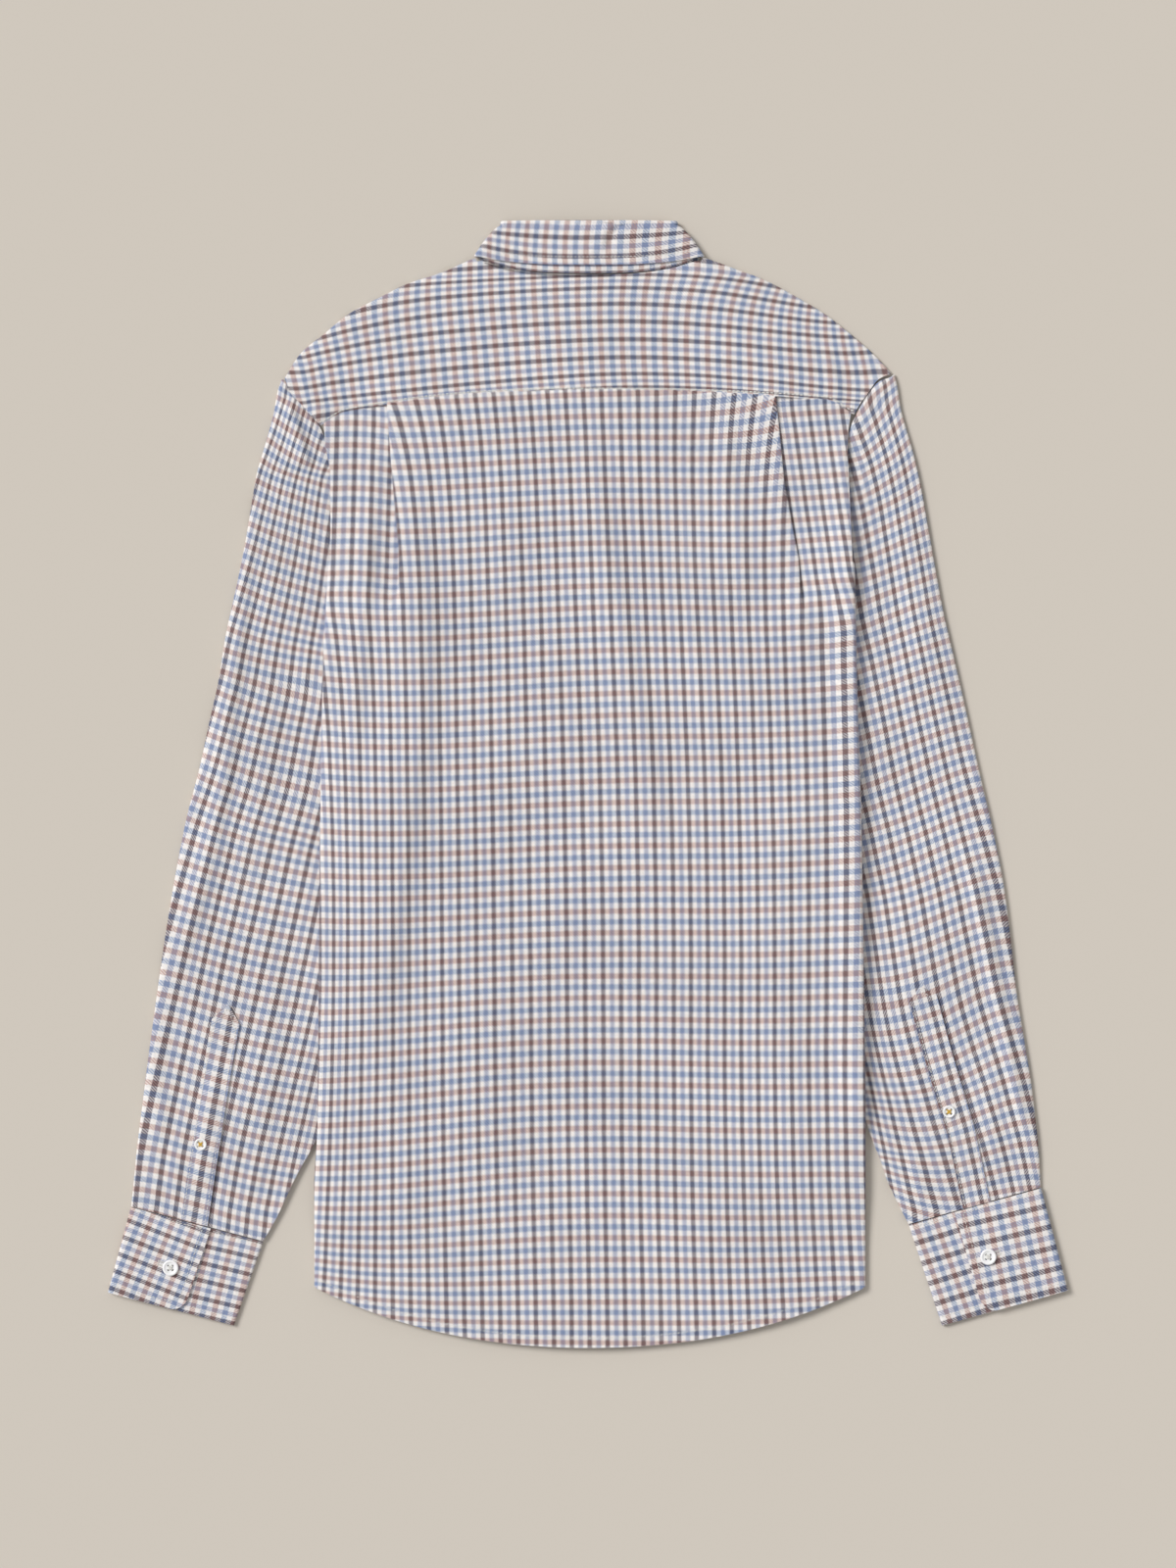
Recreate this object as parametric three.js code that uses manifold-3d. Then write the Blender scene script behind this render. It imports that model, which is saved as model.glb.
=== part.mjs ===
// Flannel shirt lying face down, back up, with its sides turned under and its
// sleeves passing out from beneath the body. Millimetres, +Z up, +Y to the collar.
import * as THREE from 'three';
import { mergeVertices } from 'three/addons/utils/BufferGeometryUtils.js';
import Module from 'manifold-3d';

const wasm = await Module();
wasm.setup();

// Cloth and the way its layers lie on each other
const CLOTH = 1.0;            // one layer of brushed flannel
const STIFF = 1.6;            // interlined cloth of collar leaf and cuffs
const GAP = 0.3;              // room between pieces at seams and between layers
const PITCH = CLOTH + GAP;    // one layer to the next
const FLOOR = CLOTH / 2;      // middle of a layer that rests on the ground

// Body
const SIDE_TURN = 75;         // width of the turned-under side
const TURN_TOP = 160;         // y where the side starts to turn under
const TURN_FULL = 70;         // y from which the whole width is turned under
const RISE_TOP = 215;         // y where the body starts to climb over the sleeve
const RAMP = 52;              // width over which a panel comes down to the ground
const SLEEVE_OUT = -275;      // y where the sleeves have left the body
const BODY_DROP = -335;       // y where the body lies on the ground again
const CENTRE_LIFT = 5.4;      // middle of the back over the front bands
const PLEAT_STEP = 2 * PITCH; // height that a knife pleat adds
const PLEAT_DEPTH = 15;       // depth of a knife pleat at the yoke seam
const PLEAT_FLAT = 158;       // y where the pleat has lost its depth
const PLEAT_END = 122;        // y where the pleat has gone

// Front bands and buttons
const PLACKET_HALF = 16;
const BUTTON_R = 5.75;        // 18 line button
const BUTTON_T = 2.0;
const SMALL_R = 4.45;         // 14 line button of the gauntlet
const SMALL_T = 1.8;
const HOLE_R = 0.75;
const HOLE_SPREAD = 1.45;
const BUTTON_LIFT = BUTTON_T + GAP;
const FRONT_BUTTONS = [212, 131, 50, -31, -112, -193, -272];

// Outline tables, each row { x, y } or { y, x }, left and right as seen from above
const at = (x, y) => ({ x, y });
const BODY_EDGE = {
  left: [at(-190.6, 264), at(-189.4, 248), at(-186, 228), at(-185.5, 168), at(-186.2, 140), at(-188.5, 104),
    at(-190.4, 28), at(-191.8, -105), at(-193, -245), at(-195.3, -282), at(-195.3, -358.8)],
  right: [at(189.6, 264), at(187.4, 250), at(187, 233), at(188.5, 200), at(190, 160), at(191.8, 70),
    at(194.6, -14), at(196.7, -140), at(198, -245), at(198.1, -358.8)],
};
const SHOULDER = [at(-216, 290), at(-206, 308), at(-187, 322), at(-171.5, 336), at(-143, 350), at(-131, 357),
  at(-108, 363.5), at(-96, 368), at(-82, 375.6), at(-60, 380), at(0, 381), at(62, 380), at(84, 375.6),
  at(106, 367), at(122, 362), at(136, 355), at(169, 336), at(187.6, 321), at(204, 307), at(215.6, 294)];
const ARMHOLE = {
  left: [at(-191, 256.6), at(-196.7, 261.8), at(-203.7, 270), at(-212.8, 279.3), at(-216, 290)],
  right: [at(190, 264.4), at(194, 271), at(199.5, 278.6), at(206.5, 288.8), at(215.6, 294)],
};
const HEM = [at(-195.3, -358.8), at(-170, -371), at(-129.5, -382.9), at(-89.6, -393.4), at(-49, -399.7),
  at(-9, -402), at(31, -401.5), at(71, -397.6), at(111, -389.9), at(152, -378), at(198.1, -358.8)];
const PLEAT_EDGE = {
  left: [at(-143.5, 269.5), at(-140, 224), at(-134.5, 168), at(-133.7, 120)],
  right: [at(132.3, 275), at(139.3, 213), at(149.8, 161), at(152, 120)],
};

// Sleeve rows: outer fold and inner edge, shoulder tip to cuff seam
const row = (ox, oy, ix, iy) => ({ ox, oy, ix, iy });
const SLEEVE_ROWS = {
  left: [row(-218.4, 289.2, -215.8, 286.6), row(-221.9, 280, -213, 277.6), row(-224, 266, -204.2, 267.6),
    row(-227.5, 252, -194, 254.2), row(-231.7, 238, -188.6, 238), row(-236.6, 222, -186.7, 222),
    row(-240, 201, -186.2, 200), row(-244, 176, -185.9, 178), row(-247, 160, -184, 164),
    row(-252, 136, -172, 132), row(-259, 105, -146, 92), row(-263.5, 74, -125, 62), row(-270, 46, -127, 34),
    row(-277.5, 10, -133, -10), row(-287, -25, -140.5, -60), row(-295.5, -70, -149, -105),
    row(-302.4, -112, -160, -150), row(-308, -152, -171, -190), row(-314, -196, -182, -226),
    row(-318, -228, -193.5, -254), row(-322, -260, -208.6, -280), row(-324, -281, -221.2, -308),
    row(-326.1, -301.3, -231.8, -326.2)],
  right: [row(218.8, 292.6, 217.2, 290.8), row(221, 283, 208.6, 285), row(223, 268, 200, 274),
    row(227, 254, 191.8, 258), row(230, 244, 187.2, 243), row(234, 230, 187.4, 228), row(239, 207, 188.9, 200),
    row(243.5, 180, 189.9, 178), row(247, 160, 188, 164), row(253, 126, 174, 130), row(261, 92, 148, 92),
    row(270, 52, 126, 60), row(279, 10, 130, 22), row(289, -32, 138, -30), row(297, -72, 147, -80),
    row(302, -112, 158, -125), row(306, -150, 170, -165), row(311, -180, 183, -200),
    row(316, -210, 194, -228), row(319.2, -237, 203.5, -256), row(321, -252, 208.5, -267),
    row(322.2, -268, 213.5, -284), row(323.2, -287.6, 228.7, -314)],
};

// Cuff corners and the place where the overlap ends
const CUFF = {
  left: { outTop: at(-326.2, -301.9), inTop: at(-231.8, -326.9), outLow: at(-342.6, -362.6), inLow: at(-252.7, -386.4),
    lapTop: 0.605, lapLow: 0.60, button: at(-297.6, -344.9), turn: -0.255 },
  right: { outTop: at(323.4, -288.3), inTop: at(228.9, -314.6), outLow: at(342.6, -361), inLow: at(252.7, -386.4),
    lapTop: 0.655, lapLow: 0.67, button: at(285.3, -337.1), turn: 0.25 },
};
const GAUNTLET_W = 20;
const GAUNTLET = {
  left: { slit: [at(-248.5, -171), at(-254, -202), at(-260, -240), at(-265.5, -275), at(-271.5, -315.4)],
    side: 1, tip: 12, button: at(-276.2, -256.9) },
  right: { slit: [at(248.5, -150), at(258, -186), at(267.5, -219), at(275.5, -245), at(287.5, -300.6)],
    side: 1, tip: 9, button: at(257.3, -233.6) },
};

// Collar
const NECK_SEAM_MID = 364.3;  // y of the neck seam at the middle of the back
const NECK_SEAM_SIDE = 373.8; // and at the sides of the neck
const STAND_MID = 3.5;        // height of the collar ring's middle
const STAND_HALF = 1.1;       // from there to the middle of either stand layer
const LEAF_OUT = 1.6;         // from stand to leaf
const NECK_SIDE = 75;         // half width of the flattened collar ring at the neck seam
const LEAF_BUMP = STIFF + GAP; // what lies over the collar points is this much higher
const FRONT_NECK = 290;       // y of the front neck seam at the middle
const FRONT_ROLL = 320;       // y of the roll line at the middle
const LEAF_POINT = at(40, 257);

const clamp01 = (t) => Math.min(1, Math.max(0, t));
const lerp = (a, b, t) => a + (b - a) * t;
const smooth = (from, to, v) => {
  const t = clamp01((v - from) / (to - from));
  return t * t * (3 - 2 * t);
};
// Value of one column of a table at a place in another column
function look(table, key, value, place) {
  const rows = table[0][key] < table[table.length - 1][key] ? table : [...table].reverse();
  if (place <= rows[0][key]) return rows[0][value];
  for (let i = 1; i < rows.length; i++) {
    if (place <= rows[i][key]) {
      const t = (place - rows[i - 1][key]) / (rows[i][key] - rows[i - 1][key]);
      return lerp(rows[i - 1][value], rows[i][value], t);
    }
  }
  return rows[rows.length - 1][value];
}
// Point at a share of the length of an outline
function along(points, share) {
  const steps = points.slice(1).map((p, i) => Math.hypot(p.x - points[i].x, p.y - points[i].y));
  let left = share * steps.reduce((a, b) => a + b, 0);
  for (let i = 0; i < steps.length; i++) {
    if (left <= steps[i] || i === steps.length - 1) {
      const t = Math.min(1, left / steps[i]);
      return at(lerp(points[i].x, points[i + 1].x, t), lerp(points[i].y, points[i + 1].y, t));
    }
    left -= steps[i];
  }
  return points[0];
}

// Closed cloth wall: rows of middle points, laid out to both sides along normals
function wall(rows, normals, thickness) {
  const thick = typeof thickness === 'number' ? () => thickness : thickness;
  const nr = rows.length;
  const nc = rows[0].length;
  const pos = [];
  for (const side of [1, -1]) {
    for (let j = 0; j < nr; j++) {
      for (let i = 0; i < nc; i++) {
        const p = rows[j][i];
        const n = normals[j][i];
        const h = (side * thick(j)) / 2;
        pos.push(p.x + n.x * h, p.y + n.y * h, p.z + n.z * h);
      }
    }
  }
  const top = (j, i) => j * nc + i;
  const low = (j, i) => nr * nc + j * nc + i;
  const index = [];
  const quad = (a, b, c, d) => index.push(a, b, c, a, c, d);
  for (let j = 0; j < nr - 1; j++) {
    for (let i = 0; i < nc - 1; i++) {
      quad(top(j, i), top(j, i + 1), top(j + 1, i + 1), top(j + 1, i));
      quad(low(j, i), low(j + 1, i), low(j + 1, i + 1), low(j, i + 1));
    }
    quad(top(j, 0), top(j + 1, 0), low(j + 1, 0), low(j, 0));
    quad(top(j, nc - 1), low(j, nc - 1), low(j + 1, nc - 1), top(j + 1, nc - 1));
  }
  for (let i = 0; i < nc - 1; i++) {
    quad(top(0, i), low(0, i), low(0, i + 1), top(0, i + 1));
    quad(top(nr - 1, i), top(nr - 1, i + 1), low(nr - 1, i + 1), low(nr - 1, i));
  }
  return outward(pos, index);
}
function outward(pos, index) {
  let six = 0;
  for (let t = 0; t < index.length; t += 3) {
    const [a, b, c] = [index[t] * 3, index[t + 1] * 3, index[t + 2] * 3];
    six += pos[a] * (pos[b + 1] * pos[c + 2] - pos[b + 2] * pos[c + 1])
      - pos[a + 1] * (pos[b] * pos[c + 2] - pos[b + 2] * pos[c])
      + pos[a + 2] * (pos[b] * pos[c + 1] - pos[b + 1] * pos[c]);
  }
  if (six < 0) for (let t = 0; t < index.length; t += 3) [index[t + 1], index[t + 2]] = [index[t + 2], index[t + 1]];
  const geometry = new THREE.BufferGeometry();
  geometry.setAttribute('position', new THREE.Float32BufferAttribute(pos, 3));
  geometry.setIndex(index);
  geometry.computeVertexNormals();
  return geometry;
}
// Normals within each section: the section's plane stands on direction e
function sectionNormals(rows, es) {
  return rows.map((points, j) => points.map((_, i) => {
    const a = points[Math.max(0, i - 1)];
    const b = points[Math.min(points.length - 1, i + 1)];
    const e = es[j];
    const te = (b.x - a.x) * e.x + (b.y - a.y) * e.y;
    const tz = b.z - a.z;
    const len = Math.hypot(te, tz) || 1;
    return { x: (-tz * e.x) / len, y: (-tz * e.y) / len, z: te / len };
  }));
}
// Normals of the surface through the grid
function gridNormals(rows, flip = 1) {
  const nr = rows.length;
  return rows.map((points, j) => points.map((_, i) => {
    const a = points[Math.max(0, i - 1)];
    const b = points[Math.min(points.length - 1, i + 1)];
    const c = rows[Math.max(0, j - 1)][i];
    const d = rows[Math.min(nr - 1, j + 1)][i];
    const u = new THREE.Vector3(b.x - a.x, b.y - a.y, b.z - a.z);
    const v = new THREE.Vector3(d.x - c.x, d.y - c.y, d.z - c.z);
    return u.cross(v).normalize().multiplyScalar(flip);
  }));
}

// Body heights, middle of the cloth
const edgeX = (side, y) => look(BODY_EDGE[side], 'y', 'x', y);
const sideOf = (x) => (x < 0 ? 'left' : 'right');
const turned = (y) => SIDE_TURN * (1 - smooth(TURN_FULL, TURN_TOP - 12, y));
const turnAngle = (y) => Math.PI * (1 - smooth(TURN_TOP - 10, TURN_TOP, y));
const ground = (y) => 2 * PITCH * smooth(BODY_DROP, SLEEVE_OUT, y);   // sleeve beneath
const climb = (y) => 1 - smooth(TURN_TOP, RISE_TOP, y);
// Height of the front at its edge: over sleeve, back turn and front turn
const frontEdge = (y) => FLOOR + climb(y) * (ground(y) + 2 * PITCH);
const inner = (side, y) => Math.abs(edgeX(side, y)) - turned(y) - 6;
const ramp = (y) => lerp(16, RAMP, turned(y) / SIDE_TURN);
// Share of the climb to the edge; the back finishes it a little before the front
const edgeShare = (x, y, early = 0) => {
  const to = inner(sideOf(x), y) - early;
  return smooth(to - ramp(y) - early, to, Math.abs(x));
};
function leafBump(x, y) {
  const ax = Math.abs(x);
  if (ax > 116) return 0;
  const low = ax < 60 ? 236 : lerp(236, 330, clamp01((ax - 60) / 50));
  return LEAF_BUMP * smooth(low - 14, low, y) * (1 - smooth(98, 116, ax));
}
// Back: centre panel, stepped down outside the pleats, then up to the turned side
const pleatDrop = (y) => PLEAT_STEP * smooth(PLEAT_END, PLEAT_FLAT - 14, y);
const backEdge = (y) => Math.max(FLOOR + 2.6, frontEdge(y) + PITCH);
function backZ(x, y, outside) {
  const out = outside === undefined ? Math.abs(x) > Math.abs(pleatX(sideOf(x), y)) : outside;
  const mid = lerp(5.0, CENTRE_LIFT, 1 - smooth(18, 48, Math.abs(x))) + 0.2 * smooth(120, 200, y);
  if (!out) {
    return lerp(mid, Math.max(backEdge(y), mid), edgeShare(x, y, 14) * (1 - smooth(PLEAT_END, PLEAT_FLAT, y)));
  }
  const step = 5.2 - pleatDrop(y);
  const px = Math.abs(pleatX(sideOf(x), y));
  const t = smooth(px + 8, Math.abs(edgeX(sideOf(x), y)) - 10, Math.abs(x));
  const share = Math.max(edgeShare(x, y, 12), t * smooth(PLEAT_END - 30, PLEAT_FLAT, y));
  return lerp(step, backEdge(y), share);
}
const pleatX = (side, y) => look(PLEAT_EDGE[side], 'y', 'x', y);

// One half row of a body panel, from a given x out to the edge, round the fold and
// along the turned strip; every row has the same number of points
const FOLD_STEPS = 4;
const STRIP_STEPS = 2;
function turnedHalf(side, y, yAt, radius, zEdge, bandHeight) {
  const sign = side === 'left' ? -1 : 1;
  const inset = (2 * PITCH - PITCH / 2 + CLOTH / 2) - (radius + CLOTH / 2);   // inside the outer fold
  const xc = sign * (Math.abs(edgeX(side, y)) - radius - CLOTH / 2 - inset);
  const angle = Math.max(0.05, turnAngle(y));
  const points = [];
  let p = null;
  for (let k = 1; k <= FOLD_STEPS; k++) {
    const a = (angle * k) / FOLD_STEPS;
    p = { x: xc + sign * radius * Math.sin(a), y: yAt(0), z: zEdge - radius * (1 - Math.cos(a)) };
    points.push(p);
  }
  const run = Math.max(0.4, turned(y) - inset);
  for (let k = 1; k <= STRIP_STEPS; k++) {
    const s = (run * k) / STRIP_STEPS;
    points.push({ x: p.x + sign * Math.cos(angle) * s, y: yAt(s), z: p.z - Math.sin(angle) * s });
  }
  return { start: xc, points };
}

const hemAt = (x) => look(HEM, 'x', 'y', x);
// Yoke seam: highest at the middle, falling to the armholes
const seamAt = (x) => 280.5 - (x < 0 ? 10.9 : 4.7) * Math.pow(Math.abs(x) / 152, 2.4)
  - (x < 0 ? 5 * smooth(174, 191, -x) : 8 * smooth(172, 190, x));
const HEM_SIDE = -358.8;
const hemShare = (y) => smooth(-120, HEM_SIDE, y);
const seamShare = (y) => smooth(170, 263, y);
// y of a body row at x: bowed to the yoke seam at the top and to the hem below
function rowY(x, y, topY) {
  const top = topY ? (seamAt(x) - 3 * GAP - 263) * seamShare(y) : 0;
  return y + top + (hemAt(x) - HEM_SIDE) * hemShare(y);
}
const BODY_ROWS = [263, 238, 213, 190, 173, 164, 159.5, 156.5, 153.5, 150, 140, 128, 114, 96, 71, 0, -110, -235, -275,
  -305, -335, HEM_SIDE];

function pleatPath(side, y, start) {
  // from the centre outward: over the edge, back beneath it, and out again
  const angle = Math.max(0.06, Math.PI * smooth(PLEAT_END, PLEAT_FLAT - 14, y));
  const depth = Math.max(0.6, PLEAT_DEPTH * smooth(PLEAT_FLAT - 12, 262, y));
  const r = PITCH / 2;
  const sign = side === 'left' ? -1 : 1;
  const points = [];
  let [x, z] = [Math.abs(start.x), start.z];
  const x0 = x;
  const z0 = z;
  const steps = 3;
  for (let k = 0; k <= steps; k++) {
    const a = (angle * k) / steps;
    points.push([x0 + r * Math.sin(a), z0 - r * (1 - Math.cos(a))]);
  }
  [x, z] = points[points.length - 1];
  x += Math.cos(angle) * depth;
  z -= Math.sin(angle) * depth;
  const cx = x + r * Math.sin(angle);
  for (let k = 0; k <= steps; k++) {
    const a = angle * (1 - k / steps);
    points.push([cx - r * Math.sin(a), z - r * (Math.cos(a) - Math.cos(angle))]);
  }
  return points.map(([px, pz]) => ({ x: sign * px, z: pz }));
}

function backPanel() {
  const rows = BODY_ROWS.map((y) => {
    const halves = {};
    for (const side of ['left', 'right']) {
      const sign = side === 'left' ? -1 : 1;
      const yEdge = (s) => rowY(sign * Math.abs(edgeX(side, y)), y, true) + 0.45 * s * hemShare(y);
      const fold = turnedHalf(side, y, yEdge, 1.5 * PITCH, backEdge(y));
      const px = Math.abs(pleatX(side, y));
      const points = [];
      for (const x of [20, 52, px * 0.58, px * 0.8, px - 8]) points.push({ x: sign * x, z: backZ(sign * x, y, false) });
      const startZ = backZ(sign * (px - 0.65), y, false);
      const pleat = pleatPath(side, y, { x: sign * (px - 0.65), z: startZ });
      points.push(...pleat);
      const from = pleat[pleat.length - 1];
      const to = Math.abs(fold.start);
      const base = backZ(from.x, y, true);
      for (const t of [0.12, 0.35, 0.62, 0.82]) {
        const x = sign * lerp(Math.abs(from.x), to, t);
        points.push({ x, z: backZ(x, y, true) + (from.z - base) * (1 - smooth(0, 0.5, t)) });
      }
      points.push({ x: fold.start, z: backEdge(y) });
      for (const p of points) p.y = rowY(p.x, y, true);
      halves[side] = [...points, ...fold.points];
    }
    const mid = { x: 0, y: rowY(0, y, true), z: backZ(0, y, false) };
    return [...halves.left.reverse(), mid, ...halves.right];
  });
  return wall(rows, sectionNormals(rows, rows.map(() => at(1, 0))), CLOTH);
}

// Fronts: neck and shoulder at the top, band seam at the middle, turned sides
const FRONT_SEAM_DROP = 32;   // the yoke reaches this far down the front
const shoulderAt = (x) => look(SHOULDER, 'x', 'y', x);
const NECK_BEND = 1.6;
// Half width of the front neck opening at y, and the neck edge at x
const neckHalf = (y) => NECK_SIDE * Math.pow(clamp01((y - FRONT_NECK) / (NECK_SEAM_SIDE - FRONT_NECK)), 1 / NECK_BEND);
const neckFront = (x) => lerp(FRONT_NECK, NECK_SEAM_SIDE,
  Math.pow(Math.min(1, Math.abs(x - 0.8) / NECK_SIDE), NECK_BEND));
// Seam between yoke and front, and the upper edge of a front
const frontSeam = (x) => shoulderAt(Math.sign(x) * Math.max(82, Math.abs(x))) - FRONT_SEAM_DROP
  - 20 * smooth(140, 198, Math.abs(x));
function frontTop(x) {
  return Math.min(neckFront(x) - 2.5, frontSeam(x) - 5 * GAP);
}
function frontPanel(side) {
  const sign = side === 'left' ? -1 : 1;
  const bandX = PLACKET_HALF + GAP;
  const build = (y, top) => {
    const edge = Math.abs(edgeX(side, Math.min(y, 262)));
    const yAt = (x) => {
      const base = y + (hemAt(x) - HEM_SIDE) * hemShare(y);
      return top === null ? base : lerp(base, frontTop(x), top);
    };
    const yEdge = (s) => y + 0.45 * s * hemShare(y) + (top === null ? 0 : top * 0.001);
    const fold = turnedHalf(side, y, yEdge, PITCH / 2, frontEdge(y));
    const points = [];
    const start = Math.abs(fold.start);
    const full = inner(side, y);
    const from = full - ramp(y);
    const xs = [0, 0.12, 0.28, 0.55, 1].map((t) => lerp(bandX, from, t));
    xs.push(from + ramp(y) * 0.33, from + ramp(y) * 0.66, full, lerp(full, start, 0.5), start);
    for (const ax of xs) {
      const x = sign * Math.min(ax, start);
      const base = lerp(FLOOR + leafBump(x, yAt(x)), frontEdge(y), edgeShare(x, y));
      points.push({ x, y: yAt(x), z: ax === start ? frontEdge(y) : base });
    }
    return [...points, ...fold.points.map((p) => ({ ...p, y: top ? yAt(sign * edge) : p.y }))];
  };
  const rows = [];
  for (const t of [1, 0.7, 0.4]) rows.push(build(BODY_ROWS[0], t));
  for (const y of BODY_ROWS) rows.push(build(y, null));
  return wall(rows, sectionNormals(rows, rows.map(() => at(sign, 0))), CLOTH);
}

// Front bands, lifted where they lie over a button
const bulge = (d) => 1 - smooth(BUTTON_R + 0.8, 13.2, Math.abs(d));
const buttonLift = (x, y) => BUTTON_LIFT * bulge(x) * Math.max(...FRONT_BUTTONS.map((b) => bulge(y - b)));
function band(xs, layer, topY, lowY) {
  const ys = new Set([topY, lowY]);
  for (const b of FRONT_BUTTONS) for (const d of [-13.2, -6.5, 6.5, 13.2]) ys.add(b + d);
  for (const y of [242, 234, 226.5]) ys.add(y);
  const list = [...ys].filter((y) => y <= topY && y >= lowY).sort((a, b) => b - a);
  const rows = list.map((y) => xs.map((x) => {
    const yy = y === lowY ? hemAt(x) : y;
    return { x, y: yy, z: FLOOR + layer * PITCH + leafBump(0, yy) + buttonLift(x, yy) };
  }));
  return wall(rows, sectionNormals(rows, rows.map(() => at(1, 0))), CLOTH);
}

// Yoke, from the back seam over the shoulder and 32 mm down the front
const YOKE_XS = [-216, -208, -197, -182, -164, -146, -126, -106, -90, -80.6, -79, -66, -38, 0, 38, 66, 80.4, 82,
  92, 108, 128, 155, 183, 197, 208, 215.6];
const NECK_LEFT = -79.5;
const NECK_RIGHT = 81;
// Neck seam at the back, and the yoke's under side narrowed to neck and armhole
const neckBack = (x) => lerp(NECK_SEAM_MID, NECK_SEAM_SIDE, Math.pow(Math.min(1, Math.abs(x - 0.8) / NECK_SIDE), 3));
function underX(x, y) {
  const ax = Math.abs(x);
  if (ax > 150) {
    const arm = Math.abs(look(ARMHOLE[sideOf(x)], 'y', 'x', y)) - 1;
    return Math.sign(x) * lerp(150, arm, (ax - 150) / 66);
  }
  const inside = neckHalf(y) + 1.8 + 1.8 * smooth(345, 372, y);
  if (ax < 110) return Math.sign(x) * lerp(110, inside, (110 - ax) / (110 - 80.4));
  return x;
}
function yoke() {
  const first = YOKE_XS[0];
  const wide = YOKE_XS[YOKE_XS.length - 1] - first;
  const rows = YOKE_XS.map((x) => {
    const u = (x - first) / wide;
    const inNeck = x > NECK_LEFT && x < NECK_RIGHT;
    const bottomX = lerp(ARMHOLE.left[0].x, ARMHOLE.right[0].x, u);
    const bottom = at(bottomX, seamAt(bottomX));
    const top = at(x, inNeck ? neckBack(x) - 4 * GAP : shoulderAt(x));
    const zTop = inNeck ? 4.6 : lerp(4.4, 2.6, smooth(84, 140, Math.abs(x)));
    const seamZ = lerp(5.4, 3.1, smooth(132, 160, Math.abs(bottomX)));
    const points = [];
    for (const v of [0, 0.14, 0.32, 0.55, 0.8, 1]) {
      const p = at(lerp(bottom.x, top.x, v), lerp(bottom.y, top.y, v));
      for (const [side, w] of [['left', 1 - u], ['right', u]]) {
        const arm = along(ARMHOLE[side], v);
        const a = ARMHOLE[side][0];
        const b = ARMHOLE[side][ARMHOLE[side].length - 1];
        const k = Math.pow(w, 8);
        p.x += (arm.x - lerp(a.x, b.x, v)) * k;
        p.y += (arm.y - lerp(a.y, b.y, v)) * k;
      }
      points.push({ x: p.x, y: p.y, z: lerp(seamZ, zTop, smooth(0, 0.9, v)) });
    }
    const last = points[points.length - 1];
    const low = FLOOR + leafBump(x, last.y - 12);
    const r = (last.z - low) / 2;
    const fold = inNeck ? 0.04 : Math.PI;
    if (!inNeck) last.y -= r + CLOTH / 2;
    const base = { ...last };
    for (let k = 1; k <= 4; k++) {
      const a = (fold * k) / 4;
      points.push({ x: base.x, y: base.y + r * Math.sin(a), z: base.z - r * (1 - Math.cos(a)) });
    }
    const end = points[points.length - 1];
    const lowX = Math.abs(x) > 150 ? underX(x, 264) : underX(x, 344);
    const stop = frontSeam(lowX);
    for (const t of [0.33, 0.66, 1]) {
      if (inNeck) {
        points.push({ x: end.x, y: end.y + 0.3 * t, z: end.z });
        continue;
      }
      const y = lerp(base.y, stop, t);
      const ux = t === 1 ? lowX : underX(x, y);
      points.push({ x: ux, y, z: FLOOR + leafBump(ux, y) });
    }
    return points;
  });
  return wall(rows, sectionNormals(rows, rows.map(() => at(0, 1))), CLOTH);
}

// Sleeve: a flattened tube from the top inner edge round the outer fold and back
function sleeveTop(side, x, y) {
  // middle of the sleeve's upper layer: flat where the body covers it
  const beyond = Math.abs(x) - Math.abs(edgeX(side, Math.min(262, Math.max(y, HEM_SIDE))));
  const free = smooth(22, 44, beyond);
  const head = smooth(178, 212, y);
  const low = smooth(-292, -262, y);
  const open = Math.max(free, 1 - smooth(-300, -252, y));
  return FLOOR + PITCH + Math.max(1.3 * head, 1.5 * open * lerp(0.4, 1, low));
}
function sleeve(side) {
  const rows = [];
  const es = [];
  const table = SLEEVE_ROWS[side];
  table.forEach((q, j) => {
    const width = Math.hypot(q.ox - q.ix, q.oy - q.iy);
    const e = at((q.ox - q.ix) / width, (q.oy - q.iy) / width);
    const zOuter = sleeveTop(side, q.ox, q.oy);
    const r = Math.min((zOuter - FLOOR) / 2, width * 0.3);
    const run = width - r - CLOTH / 2;
    const points = [];
    for (const t of [0, 0.14, 0.3, 0.46, 0.63, 0.83]) {
      const x = q.ix + e.x * run * t;
      const y = q.iy + e.y * run * t;
      points.push({ x, y, z: lerp(sleeveTop(side, x, y), FLOOR + 2 * r, smooth(0.55, 1, t)) });
    }
    const foldX = q.ix + e.x * run;
    const foldY = q.iy + e.y * run;
    for (let k = 0; k <= 5; k++) {
      const a = (Math.PI * k) / 5;
      points.push({ x: foldX + e.x * r * Math.sin(a), y: foldY + e.y * r * Math.sin(a), z: FLOOR + r * (1 + Math.cos(a)) });
    }
    for (const t of [0.6, 0]) points.push({ x: q.ix + e.x * run * t, y: q.iy + e.y * run * t, z: FLOOR });
    rows.push(points);
    es.push(e);
  });
  return wall(rows, sectionNormals(rows, es), CLOTH);
}

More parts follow.
